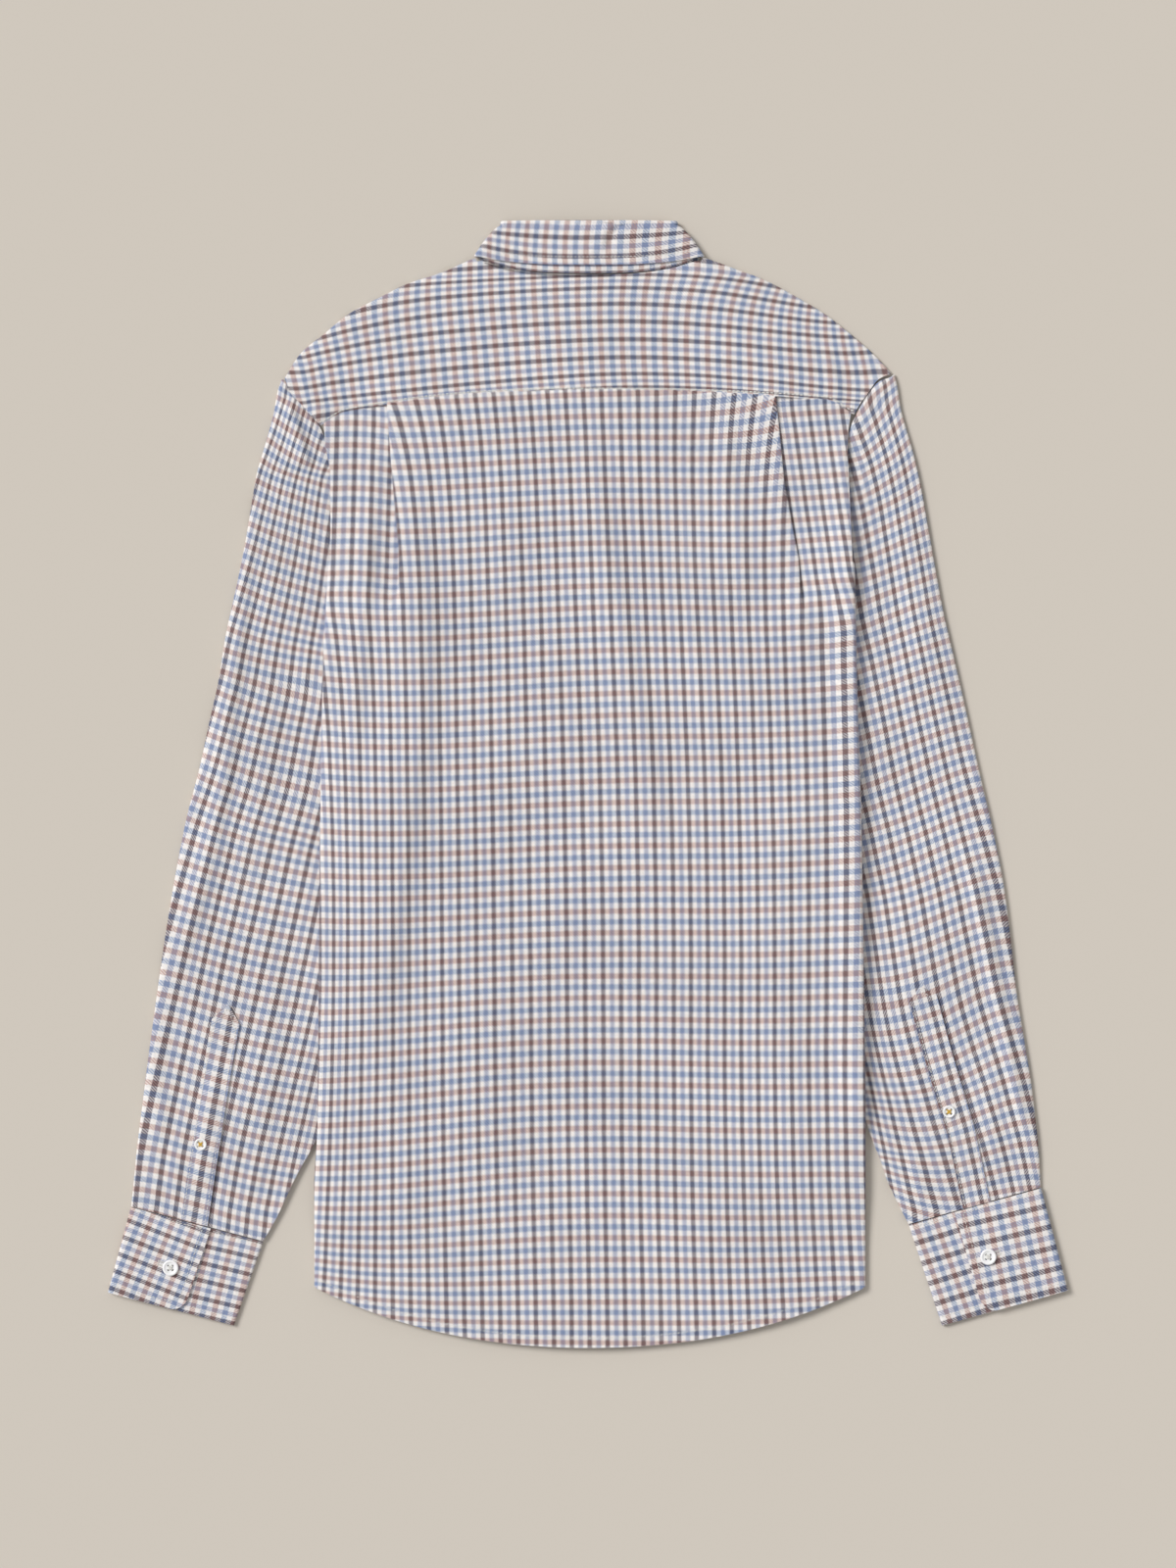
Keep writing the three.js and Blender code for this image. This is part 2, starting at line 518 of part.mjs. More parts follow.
// Height of the sleeve's upper layer as built, for what lies on it
function onSleeve(side, x, y) {
  return sleeveTop(side, x, y) + PITCH + 0.25;
}
const cuffTopY = (side, x) => {
  const { outTop, inTop } = CUFF[side];
  return lerp(inTop.y, outTop.y, (x - inTop.x) / (outTop.x - inTop.x));
};
function gauntlet(side) {
  const g = GAUNTLET[side];
  const rows = [];
  const steps = 9;
  for (let j = 0; j <= steps; j++) {
    const s = j / steps;
    const p = along(g.slit, s);
    const q = along(g.slit, Math.min(1, s + 0.02));
    const o = along(g.slit, Math.max(0, s - 0.02));
    const len = Math.hypot(q.x - o.x, q.y - o.y);
    const d = at((q.x - o.x) / len, (q.y - o.y) / len);
    const across = at(d.y * g.side, -d.x * g.side);
    rows.push([0, 0.25, 0.5, 0.75, 1].map((w) => {
      const point = j === 0 ? g.tip * (1 - Math.abs(w - 0.5) * 2) : 0;
      const x = p.x + across.x * GAUNTLET_W * w - d.x * point;
      const along = p.y + across.y * GAUNTLET_W * w - d.y * point;
      const y = Math.max(along, cuffTopY(side, x) + 2 * GAP);
      return { x, y, z: onSleeve(side, x, y) };
    }));
  }
  return wall(rows, gridNormals(rows, -g.side), CLOTH);
}

// Cuff: flattened ring whose overlap lies on top
const CUFF_LOW = STIFF / 2;
const CUFF_MID = CUFF_LOW + STIFF + GAP;
const CUFF_TOP = CUFF_MID + STIFF + GAP;
const UNDERLAP = 27;          // how far the lower end reaches beneath the overlap
function cuff(side) {
  const c = CUFF[side];
  const rows = [];
  const es = [];
  const corner = 11;          // rounding of the overlap's lower corner
  for (const v of [0, 0.35, 0.7, 0.84, 0.92, 0.97, 1]) {
    const out = at(lerp(c.outTop.x, c.outLow.x, v), lerp(c.outTop.y, c.outLow.y, v));
    const inn = at(lerp(c.inTop.x, c.inLow.x, v), lerp(c.inTop.y, c.inLow.y, v));
    const width = Math.hypot(out.x - inn.x, out.y - inn.y);
    const e = at((inn.x - out.x) / width, (inn.y - out.y) / width);
    const height = 65;
    const low = (1 - v) * height;
    const round = low < corner ? corner - Math.sqrt(Math.max(0, corner * corner - (corner - low) ** 2)) : 0;
    const lap = lerp(c.lapTop, c.lapLow, v) * width - round;
    const rOut = (CUFF_TOP - CUFF_LOW) / 2;
    const rIn = (CUFF_MID - CUFF_LOW) / 2;
    const half = STIFF / 2;
    const path = [];
    for (const t of [1, 0.75, 0.5, 0.25]) path.push([lerp(rOut + half, lap, t), CUFF_TOP]);
    for (let k = 0; k <= 6; k++) {
      const a = (Math.PI * k) / 6;
      path.push([rOut + half - rOut * Math.sin(a), CUFF_LOW + rOut * (1 + Math.cos(a))]);
    }
    const far = width - rIn - half;
    for (const t of [0.33, 0.66]) path.push([lerp(rOut + half, far, t), CUFF_LOW]);
    for (let k = 0; k <= 4; k++) {
      const a = (Math.PI * k) / 4;
      path.push([far + rIn * Math.sin(a), CUFF_LOW + rIn * (1 - Math.cos(a))]);
    }
    const lapLine = lerp(c.lapTop, c.lapLow, v) * width;
    for (const s of [lerp(far, lapLine, 0.6), lapLine, lapLine - UNDERLAP]) path.push([s, CUFF_MID]);
    rows.push(path.map(([s, z]) => ({ x: out.x + e.x * s, y: out.y + e.y * s, z })));
    es.push(at(-e.x, -e.y));
  }
  return wall(rows, sectionNormals(rows, es), STIFF);
}

// Collar: the stand is a flattened ring open at the front, the leaf folds over it
function ringPoint(u, offset) {
  // u: -1 front left end, -0.5 left side, 0 middle back, 0.5 right side, 1 front right end
  const half = STAND_HALF + offset;
  const a = Math.abs(u);
  const sign = Math.sign(u) || 1;
  const bend = 0.03;
  if (a < 0.5 - bend) return { share: a / (0.5 - bend), z: STAND_MID + half, out: 0, back: 1, sign };
  if (a > 0.5 + bend) return { share: 1 - (a - 0.5 - bend) / (0.5 - bend), z: STAND_MID - half, out: 0, back: 0, sign };
  const ang = ((a - 0.5 + bend) / (2 * bend)) * Math.PI;
  return { share: 1, z: STAND_MID + half * Math.cos(ang), out: half * Math.sin(ang), back: 1 - (a - 0.5 + bend) / (2 * bend), sign };
}
const RING_US = [-1, -0.9, -0.8, -0.68, -0.53, -0.515, -0.5, -0.485, -0.47, -0.38, -0.25, -0.12, 0,
  0.12, 0.25, 0.38, 0.47, 0.485, 0.5, 0.515, 0.53, 0.68, 0.8, 0.9, 1];
const END_X = { left: -2.4, right: 2.4 };
function ringY(r, back, side, front) {
  const yBack = lerp(back, side, Math.pow(r.share, 3));
  const yFront = lerp(front, side, Math.pow(r.share, 1.6));
  return r.back >= 1 ? yBack : r.back <= 0 ? yFront : side;
}
function stand() {
  const rows = [0, 0.5, 1].map((v) => RING_US.map((u) => {
    const r = ringPoint(u, 0);
    const wide = lerp(NECK_SIDE, 60, v);
    const x = r.sign * (lerp(r.back > 0 ? 0 : 2.4, wide, r.share) + r.out);
    return { x: x + 0.8, y: ringY(r, lerp(NECK_SEAM_MID, 396.6, v), lerp(NECK_SEAM_SIDE, 396.2, v),
      lerp(FRONT_NECK, FRONT_ROLL, v)), z: r.z };
  }));
  return wall(rows, sectionNormals(rows, rows.map(() => at(1, 0))), CLOTH);
}
// Rows of the leaf from the rolled top to its free edge: offset from the stand,
// share of its depth, height above the roll line and thickness
const LEAF_ROWS = [
  { off: 0.8, v: 0, up: 3.6, thick: 1.2 }, { off: 0.8, v: 0, up: 3.0, thick: 2.6 }, { off: 0.8, v: 0, up: 1.6, thick: 3.2 },
  { off: 0.8, v: 0, up: 0.2, thick: 3.2 }, { off: LEAF_OUT, v: 0, up: -0.2, thick: STIFF },
  { off: LEAF_OUT, v: 0.45, up: 0, thick: STIFF },
  { off: LEAF_OUT, v: 1, up: 0, thick: STIFF },
];
function leaf() {
  const rows = LEAF_ROWS.map(({ off, v, up }) => RING_US.map((u) => {
    const r = ringPoint(u, off);
    const wide = lerp(60, 79, Math.pow(v, 0.7));
    const endX = lerp(2.4, LEAF_POINT.x, v);
    const x = r.sign * (lerp(r.back > 0 ? 0 : endX, wide, r.share) + r.out);
    const y = ringY(r, lerp(398.4, 370.2, v), lerp(397.9, 376, v), lerp(FRONT_ROLL + 1.6, LEAF_POINT.y, v)) + up;
    return { x: x + 0.8, y, z: r.z };
  }));
  return wall(rows, sectionNormals(rows, rows.map(() => at(1, 0))), (j) => LEAF_ROWS[j].thick);
}

// Buttons: turned discs with a raised rim and four holes
function solidOf(geometry) {
  geometry.deleteAttribute('normal');
  geometry.deleteAttribute('uv');
  const merged = mergeVertices(geometry, 1e-4);
  return new wasm.Manifold(new wasm.Mesh({
    numProp: 3,
    vertProperties: new Float32Array(merged.attributes.position.array),
    triVerts: new Uint32Array(merged.index.array),
  }));
}
function button(radius, thick, segments, rim = true) {
  const dished = [[0, 0], [radius - 0.4, 0], [radius, 0.6], [radius, thick - 0.6], [radius - 0.6, thick],
    [radius * 0.7, thick], [radius * 0.6, thick - 0.5], [0, thick - 0.5]];
  const plain = [[0, 0], [radius - 0.3, 0], [radius, 0.5], [radius, thick], [0, thick]];
  const profile = (rim ? dished : plain).map(([r, z]) => new THREE.Vector2(r, z));
  let body = solidOf(new THREE.LatheGeometry(profile, segments).rotateX(Math.PI / 2));
  for (const [sx, sy] of [[1, 1], [-1, 1], [1, -1], [-1, -1]]) {
    const hole = new THREE.CylinderGeometry(HOLE_R, HOLE_R, thick + 2, 6).rotateX(Math.PI / 2);
    hole.translate(sx * HOLE_SPREAD, sy * HOLE_SPREAD, thick / 2);
    body = body.subtract(solidOf(hole));
  }
  return fromManifold(body);
}
function fromManifold(body) {
  const mesh = body.getMesh();
  const pos = [];
  for (let i = 0; i < mesh.numVert; i++) {
    const o = i * mesh.numProp;
    pos.push(mesh.vertProperties[o], mesh.vertProperties[o + 1], mesh.vertProperties[o + 2]);
  }
  return outward(pos, [...mesh.triVerts]);
}

// Finishes
const CHECK = { color: 0xb9b4bc, roughness: 0.92, metalness: 0 };
const PEARL = { color: 0xf3f1ee, roughness: 0.3, metalness: 0 };
const shirt = new THREE.Group();
shirt.name = 'flannel_shirt';
function add(name, geometry, finish) {
  const mesh = new THREE.Mesh(geometry, new THREE.MeshStandardMaterial({ ...finish, name: `${name}_finish` }));
  mesh.name = name;
  shirt.add(mesh);
}
add('back', backPanel(), CHECK);
add('yoke', yoke(), CHECK);
for (const side of ['left', 'right']) {
  add(`front_${side}`, frontPanel(side), CHECK);
  add(`sleeve_${side}`, sleeve(side), CHECK);
  add(`gauntlet_${side}`, gauntlet(side), CHECK);
  add(`cuff_${side}`, cuff(side), CHECK);
  const c = CUFF[side].button;
  add(`cuff_button_${side}`, button(BUTTON_R, BUTTON_T, 16).translate(c.x, c.y, CUFF_TOP + STIFF / 2 + GAP), PEARL);
  const g = GAUNTLET[side].button;
  add(`gauntlet_button_${side}`,
    button(SMALL_R, SMALL_T, 16).translate(g.x, g.y, onSleeve(side, g.x, g.y) + CLOTH / 2 + GAP), PEARL);
}
add('placket', band([-16, -13.2, -6.5, 6.5, 13.2, 16], 0, FRONT_NECK - 4 * GAP, HEM_SIDE), CHECK);
add('button_band', band([-13.4, -6.5, 6.5, 13.2, 16], 1, FRONT_NECK - 4 * GAP, HEM_SIDE), CHECK);
add('collar_stand', stand(), CHECK);
add('collar_leaf', leaf(), CHECK);
FRONT_BUTTONS.forEach((y, i) => add(`front_button_${i + 1}`, button(BUTTON_R, BUTTON_T, 12, false).translate(0, y, 0), PEARL));

export default shirt;
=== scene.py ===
"""Dresses the flannel shirt that lies face down, back up, on a plain pale ground.

Lengths in the shirt's own functions and tables are millimetres; meshes are made in metres.
"""

import logging
import math
from dataclasses import dataclass, field
from enum import Enum

import bmesh
import bpy
import numpy as np
from mathutils import Matrix, Vector
from mathutils.bvhtree import BVHTree

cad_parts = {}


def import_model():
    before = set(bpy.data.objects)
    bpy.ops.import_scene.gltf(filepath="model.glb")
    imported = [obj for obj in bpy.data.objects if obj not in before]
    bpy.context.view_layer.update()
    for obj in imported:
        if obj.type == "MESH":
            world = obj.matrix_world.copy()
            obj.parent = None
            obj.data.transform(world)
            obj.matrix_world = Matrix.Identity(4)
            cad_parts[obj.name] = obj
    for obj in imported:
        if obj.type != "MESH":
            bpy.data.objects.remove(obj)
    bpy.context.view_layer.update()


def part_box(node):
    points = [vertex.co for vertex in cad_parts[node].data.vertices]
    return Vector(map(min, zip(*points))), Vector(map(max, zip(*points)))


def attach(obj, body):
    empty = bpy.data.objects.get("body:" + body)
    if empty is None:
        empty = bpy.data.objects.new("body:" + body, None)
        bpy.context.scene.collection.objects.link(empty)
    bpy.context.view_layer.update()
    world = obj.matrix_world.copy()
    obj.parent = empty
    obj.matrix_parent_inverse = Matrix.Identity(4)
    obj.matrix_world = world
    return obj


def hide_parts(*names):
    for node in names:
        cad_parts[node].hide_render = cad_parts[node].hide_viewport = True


LOG = logging.getLogger("flannel_shirt")
MM = 0.001
Array = np.ndarray


class Side(Enum):
    """The two sides of the shirt as the viewer sees them."""

    LEFT = -1
    RIGHT = 1

    def piece(self, kind: str) -> str:
        """Returns the name of this side's node of one kind."""
        return f"{kind}_{self.name.lower()}"


class Grain(Enum):
    """The way a piece is cut: with its warp along the body or across it."""

    LENGTHWISE = "lengthwise"
    CROSSWISE = "crosswise"


def ease(share: Array) -> Array:
    """Keeps shares from 0 to 1 and softens both ends."""
    t = np.clip(share, 0.0, 1.0)
    return t * t * (3.0 - 2.0 * t)


def smooth(low: float, high: float, value: Array) -> Array:
    """Rises softly from 0 to 1.

    Args:
        low: Value where the rise starts.
        high: Value where it ends.
        value: Places to work out.

    Returns:
        The share of the rise at each place.
    """
    return ease((np.asarray(value, dtype=float) - low) / (high - low))


def mix(a: Array, b: Array, t: Array) -> Array:
    """Returns the value a share t of the way from a to b."""
    return a + (b - a) * t


def column(table: Array, key: int, value: int, place: Array) -> Array:
    """Reads one column of a table against another.

    Args:
        table: Rows of numbers.
        key: Column that holds the places.
        value: Column that holds the values.
        place: Places to read.

    Returns:
        The values between the rows.
    """
    order = np.argsort(table[:, key], kind="stable")
    return np.interp(place, table[order, key], table[order, value])


def along(points: Array, share: Array) -> Array:
    """Finds points at shares of the length of an outline.

    Args:
        points: The outline, one row each.
        share: Shares from 0 to 1.

    Returns:
        One point for each share.
    """
    steps = np.hypot(*np.diff(points[:, :2], axis=0).T)
    length = np.concatenate([[0.0], np.cumsum(steps)])
    want = np.asarray(share) * length[-1]
    return np.stack([np.interp(want, length, points[:, k]) for k in range(points.shape[1])], axis=-1)


def even_out(line: Array, passes: int) -> None:
    """Moves each inner point towards its neighbours, in place."""
    for _ in range(passes):
        line[1:-1] = 0.25 * line[:-2] + 0.5 * line[1:-1] + 0.25 * line[2:]


def run_along(line: Array) -> Array:
    """Returns the length from a line's first point to each of its points."""
    return np.concatenate([[0.0], np.cumsum(np.linalg.norm(np.diff(line, axis=0), axis=1))])


def link(name: str, data: bpy.types.ID) -> bpy.types.Object:
    """Puts a new object with the data into the scene.

    Args:
        name: Name of the object.
        data: Its mesh, light or camera.

    Returns:
        The new object.
    """
    item = bpy.data.objects.new(name, data)
    bpy.context.scene.collection.objects.link(item)
    return item


def soften(points: Array, count: int) -> Array:
    """Rounds an outline with a smooth curve through its points.

    Args:
        points: The outline, one row each.
        count: How many points to give back.

    Returns:
        The rounded outline.
    """
    line = along(points, np.linspace(0.0, 1.0, count))
    even_out(line, 3)
    return line


@dataclass(frozen=True)
class ClothSizes:
    """Thickness of the cloth and the heights at which its layers lie."""

    cloth: float = 1.0
    stiff: float = 1.6
    gap: float = 0.3
    side_turn: float = 75.0
    turn_top: float = 160.0
    turn_full: float = 70.0
    rise_top: float = 215.0
    ramp: float = 52.0
    sleeve_out: float = -275.0
    body_drop: float = -335.0
    centre_lift: float = 5.4
    pleat_depth: float = 15.0
    pleat_flat: float = 158.0
    pleat_shut: float = 144.0
    pleat_end: float = 122.0
    hem_side: float = -358.8
    front_neck: float = 290.0
    front_roll: float = 320.0
    neck_side: float = 75.0
    neck_mid_y: float = 364.3
    neck_side_y: float = 373.8

    @property
    def pitch(self) -> float:
        """Height from one layer to the next."""
        return self.cloth + self.gap

    @property
    def side_radius(self) -> float:
        """Radius to the middle of the back's cloth where its side turns under."""
        return 1.5 * self.pitch

    @property
    def floor(self) -> float:
        """Middle of a layer that rests on the ground."""
        return self.cloth / 2.0


SIZES = ClothSizes()
# Height on the body below which rows bow down to the hem
HEM_TOP = -120.0
# Least height of thread above the ground
THREAD_CLEAR = 0.02
# How far right of the middle the neck lies
NECK_SHIFT = 0.8
# Half the width of the collar leaf's free edge on the back, and its heights there
LEAF_HALF = 79.0
LEAF_MID_Y = 370.2
LEAF_SIDE_Y = 376.0
# How far up the turned-under strip's hem climbs for each millimetre across
HEM_PULL = 0.45
# About the height at which the body's edge meets the armhole
ARMHOLE_FOOT = 262.0
# The cloth's own coordinates are stored at this many for each metre
UV_SCALE = 10.0
MM_PER_UV = 100.0
MM_PER_M = 1000.0
BODY_EDGE = {
    Side.LEFT: np.array([(-190.6, 264), (-189.4, 248), (-186, 228), (-185.5, 168), (-186.2, 140),
                         (-188.5, 104),
                         (-190.4, 28), (-191.8, -105), (-193, -245), (-195.3, -282), (-195.3, -358.8)],
                         float),
    Side.RIGHT: np.array([(189.6, 264), (187.4, 250), (187, 233), (188.5, 200), (190, 160), (191.8, 70),
                          (194.6, -14), (196.7, -140), (198, -245), (198.1, -358.8)], float),
}
SHOULDER = np.array([(-216, 290), (-206, 308), (-187, 322), (-171.5, 336), (-143, 350), (-131, 357),
                     (-108, 363.5), (-96, 368), (-82, 375.6), (-60, 380), (0, 381), (62, 380), (84, 375.6),
                     (106, 367), (122, 362), (136, 355), (169, 336), (187.6, 321), (204, 307),
                     (215.6, 294)], float)
ARMHOLE = {
    Side.LEFT: np.array([(-191, 256.6), (-196.7, 261.8), (-203.7, 270), (-212.8, 279.3), (-216, 290)], float),
    Side.RIGHT: np.array([(190, 264.4), (194, 271), (199.5, 278.6), (206.5, 288.8), (215.6, 294)], float),
}
PLEAT_EDGE = {
    Side.LEFT: np.array([(-143.5, 269.5), (-140, 224), (-134.5, 168), (-133.7, 120)], float),
    Side.RIGHT: np.array([(132.3, 275), (139.3, 213), (149.8, 161), (152, 120)], float),
}
# Sleeve sections: outer fold x, y and inner edge x, y
SLEEVE_ROWS = {
    Side.LEFT: np.array([
        (-218.4, 289.2, -215.8, 286.6), (-221.9, 280, -213, 277.6), (-224, 266, -204.2, 267.6),
        (-227.5, 252, -194, 254.2), (-231.7, 238, -188.6, 238), (-236.6, 222, -186.7, 222),
        (-240, 201, -186.2, 200), (-244, 176, -185.9, 178), (-247, 160, -184, 164), (-252, 136, -172, 132),
        (-259, 105, -146, 92), (-263.5, 74, -125, 62), (-270, 46, -127, 34), (-277.5, 10, -133, -10),
        (-287, -25, -140.5, -60), (-295.5, -70, -149, -105), (-302.4, -112, -160, -150),
        (-308, -152, -171, -190),
        (-314, -196, -182, -226), (-318, -228, -193.5, -254), (-322, -260, -208.6, -280),
        (-324, -281, -221.2, -308), (-326.1, -301.3, -231.8, -326.2)], float),
    Side.RIGHT: np.array([
        (218.8, 292.6, 217.2, 290.8), (221, 283, 208.6, 285), (223, 268, 200, 274), (227, 254, 191.8, 258),
        (230, 244, 187.2, 243), (234, 230, 187.4, 228), (239, 207, 188.9, 200), (243.5, 180, 189.9, 178),
        (247, 160, 188, 164), (253, 126, 174, 130), (261, 92, 148, 92), (270, 52, 126, 60),
        (279, 10, 130, 22),
        (289, -32, 138, -30), (297, -72, 147, -80), (302, -112, 158, -125), (306, -150, 170, -165),
        (311, -180, 183, -200), (316, -210, 194, -228), (319.2, -237, 203.5, -256), (321, -252, 208.5, -267),
        (322.2, -268, 213.5, -284), (323.2, -287.6, 228.7, -314)], float),
}
FRONT_BUTTONS = (212.0, 131.0, 50.0, -31.0, -112.0, -193.0, -272.0)


class BodyForm:
    """Heights and outlines that the body panels share."""

    def edge(self, side: Side, y: Array) -> Array:
        """Returns the x of the body's edge at y."""
        return column(BODY_EDGE[side], 1, 0, y)

    def turned(self, y: Array) -> Array:
        """Returns the width of the turned-under side at y."""
        return SIZES.side_turn * (1.0 - smooth(SIZES.turn_full, SIZES.turn_top - 12.0, y))

    def turn_angle(self, y: Array) -> Array:
        """Returns how far the side has folded under at y, in radians."""
        return math.pi * (1.0 - smooth(SIZES.turn_top - 10.0, SIZES.turn_top, y))

    def front_edge(self, y: Array) -> Array:
        """Returns the height of the front at the body's edge."""
        sleeve = 2.0 * SIZES.pitch * smooth(SIZES.body_drop, SIZES.sleeve_out, y)
        climb = 1.0 - smooth(SIZES.turn_top, SIZES.rise_top, y)
        return SIZES.floor + climb * (sleeve + 2.0 * SIZES.pitch)

    def back_edge(self, y: Array) -> Array:
        """Returns the height of the back at the body's edge."""
        return np.maximum(SIZES.floor + 2.6, self.front_edge(y) + SIZES.pitch)

    def edge_share(self, side: Side, x: Array, y: Array, early: float = 0.0) -> Array:
        """Works out the share of the climb from the middle to the edge.

        Args:
            side: Side of the body.
            x: Places across.
            y: Places along.
            early: How much sooner the climb ends than on the front.

        Returns:
            Shares from 0 to 1.
        """
        full = np.abs(self.edge(side, y)) - self.turned(y) - 6.0 - early
        ramp = mix(16.0, SIZES.ramp, self.turned(y) / SIZES.side_turn) + early
        return ease((np.abs(x) - full + ramp) / ramp)

    def leaf_bump(self, x: Array, y: Array) -> Array:
        """Returns how much the collar points beneath lift the front."""
        ax = np.abs(x)
        low = mix(236.0, 330.0, np.clip((ax - 60.0) / 50.0, 0.0, 1.0))
        rise = ease((y - low + 14.0) / 14.0)
        return (SIZES.stiff + SIZES.gap) * rise * (1.0 - smooth(98.0, 116.0, ax))

    def pleat_x(self, side: Side, y: Array) -> Array:
        """Returns the x of the pleat's fold at y."""
        return column(PLEAT_EDGE[side], 1, 0, y)

    def back_height(self, side: Side, x: Array, y: float, outside: bool) -> Array:
        """Works out the height of the back's middle.

        Args:
            side: Side of the body.
            x: Places across.
            y: Place along.
            outside: True beyond the pleat.

        Returns:
            The heights.
        """
        ax = np.abs(x)
        mid = mix(5.0, SIZES.centre_lift, 1.0 - smooth(18.0, 48.0, ax)) + 0.2 * smooth(120.0, 200.0, y)
        if not outside:
            share = self.edge_share(side, x, y, 14.0) * (1.0 - smooth(SIZES.pleat_end, SIZES.pleat_flat, y))
            return mix(mid, np.maximum(self.back_edge(y), mid), share)
        step = 5.2 - 2.0 * SIZES.pitch * smooth(SIZES.pleat_end, SIZES.pleat_shut, y)
        fold = abs(float(self.pleat_x(side, y)))
        t = smooth(fold + 8.0, abs(float(self.edge(side, y))) - 10.0, ax)
        near = t * smooth(SIZES.pleat_end - 30.0, SIZES.pleat_flat, y)
        return mix(step, self.back_edge(y), np.maximum(self.edge_share(side, x, y, 12.0), near))

    def seam(self, x: Array) -> Array:
        """Returns the y of the yoke seam at x."""
        x = np.asarray(x, float)
        bend = np.where(x < 0, 10.9, 4.7) * (np.abs(x) / 152.0) ** 2.4
        end = np.where(x < 0, 5.0 * smooth(174.0, 191.0, -x), 8.0 * smooth(172.0, 190.0, x))
        return 280.5 - bend - end

    def hem(self, x: Array) -> Array:
        """Returns the y of the hem at x."""
        x = np.asarray(x, float)
        half = np.where(x < 1.0, 196.3, 197.1)
        t = np.clip(np.abs(x - 1.0) / half, 0.0, 1.0)
        return mix(-402.0, SIZES.hem_side, t ** 2.0 * (0.72 + 0.28 * t))

    def row_y(self, x: Array, y: float, to_seam: bool) -> Array:
        """Bows a row of the body to the yoke seam above and the hem below.

        Args:
            x: Places across.
            y: The row's place at the body's edge.
            to_seam: True on the back, whose top is the yoke seam.

        Returns:
            The y of each place.
        """
        top = (self.seam(x) - 3.0 * SIZES.gap - 263.0) * smooth(170.0, 263.0, y) if to_seam else 0.0
        return y + top + (self.hem(x) - SIZES.hem_side) * smooth(HEM_TOP, SIZES.hem_side, y)

    def shoulder(self, x: Array) -> Array:
        """Returns the y of the shoulder fold at x."""
        return column(soften(SHOULDER, 90), 0, 1, x)

    def front_seam(self, x: Array) -> Array:
        """Returns the y of the seam between yoke and front."""
        ax = np.abs(x)
        return self.shoulder(np.sign(x) * np.maximum(82.0, ax)) - 32.0 - 20.0 * smooth(140.0, 198.0, ax)


BODY = BodyForm()


@dataclass(frozen=True)
class Crease:
    """A soft ridge or trough in the cloth, along a few points."""

    path: tuple[tuple[float, float], ...]
    width: float
    height: float
    lean: float = 0.0

    def lift(self, x: Array, y: Array) -> Array:
        """Works out how much the crease lifts the cloth.

        Args:
            x: Places across.
            y: Places along.

        Returns:
            The lift at each place, negative in a trough.
        """
        line = soften(np.array(self.path, float), 14)
        best = np.full(np.shape(x), 1e9)
        side = np.zeros(np.shape(x))
        share = np.zeros(np.shape(x))
        for k in range(len(line) - 1):
            a = line[k]
            d = line[k + 1] - a
            size = float(d @ d)
            t = np.clip(((x - a[0]) * d[0] + (y - a[1]) * d[1]) / size, 0.0, 1.0)
            off_x = x - a[0] - d[0] * t
            off_y = y - a[1] - d[1] * t
            gap = np.hypot(off_x, off_y)
            near = gap < best
            best = np.where(near, gap, best)
            side = np.where(near, np.sign(d[0] * off_y - d[1] * off_x), side)
            share = np.where(near, (k + t) / (len(line) - 1), share)
        ends = smooth(0.0, 0.22, share) * (1.0 - smooth(0.78, 1.0, share))
        width = self.width * (1.0 + self.lean * side)
        return self.height * ends * np.exp(-((best / width) ** 2))


# Slow waves: turn across, turn along, shift with the seed and share of the height
WAVES = ((0.041, 0.013, 1.0, 0.9), (0.017, -0.031, 2.1, 0.8), (0.083, 0.047, 0.7, 0.35),
         (-0.061, 0.092, 1.3, 0.3))


def swell(x: Array, y: Array, size: float, seed: float) -> Array:
    """Makes slow, uneven waves in the cloth.

    Args:
        x: Places across.
        y: Places along.
        size: Height of the waves.
        seed: Shifts the pattern of waves.

    Returns:
        The lift at each place.
    """
    waves = sum(np.sin(x * across + y * up + seed * shift) * share for across, up, shift, share in WAVES)
    return size * waves / sum(wave[3] for wave in WAVES)


def raised(x: Array, y: Array, waves: tuple[float, float, float], creases: tuple[Crease, ...]) -> Array:
    """Adds creases to slow waves.

    Args:
        x: Places across.
        y: Places along.
        waves: Height of the waves, shift of their pattern and lift of the whole.
        creases: The creases.

    Returns:
        The lift at each place.
    """
    size, seed, base = waves
    lift = swell(x, y, size, seed) + base
    for crease in creases:
        lift += crease.lift(x, y)
    return lift


@dataclass(frozen=True)
class Pucker:
    """The small, uneven ripples beside a seam."""

    size: float
    turn: float
    wander: float
    slow: float
    width: float

    def lift(self, x: Array, off: Array) -> Array:
        """Works out the lift at some distances from the seam.

        Args:
            x: Places across.
            off: Distances from the seam.

        Returns:
            The lift at each place.
        """
        ripple = np.sin(x * self.turn + self.wander * np.sin(x * self.slow))
        return self.size * ripple * np.exp(-(off / self.width) ** 2)


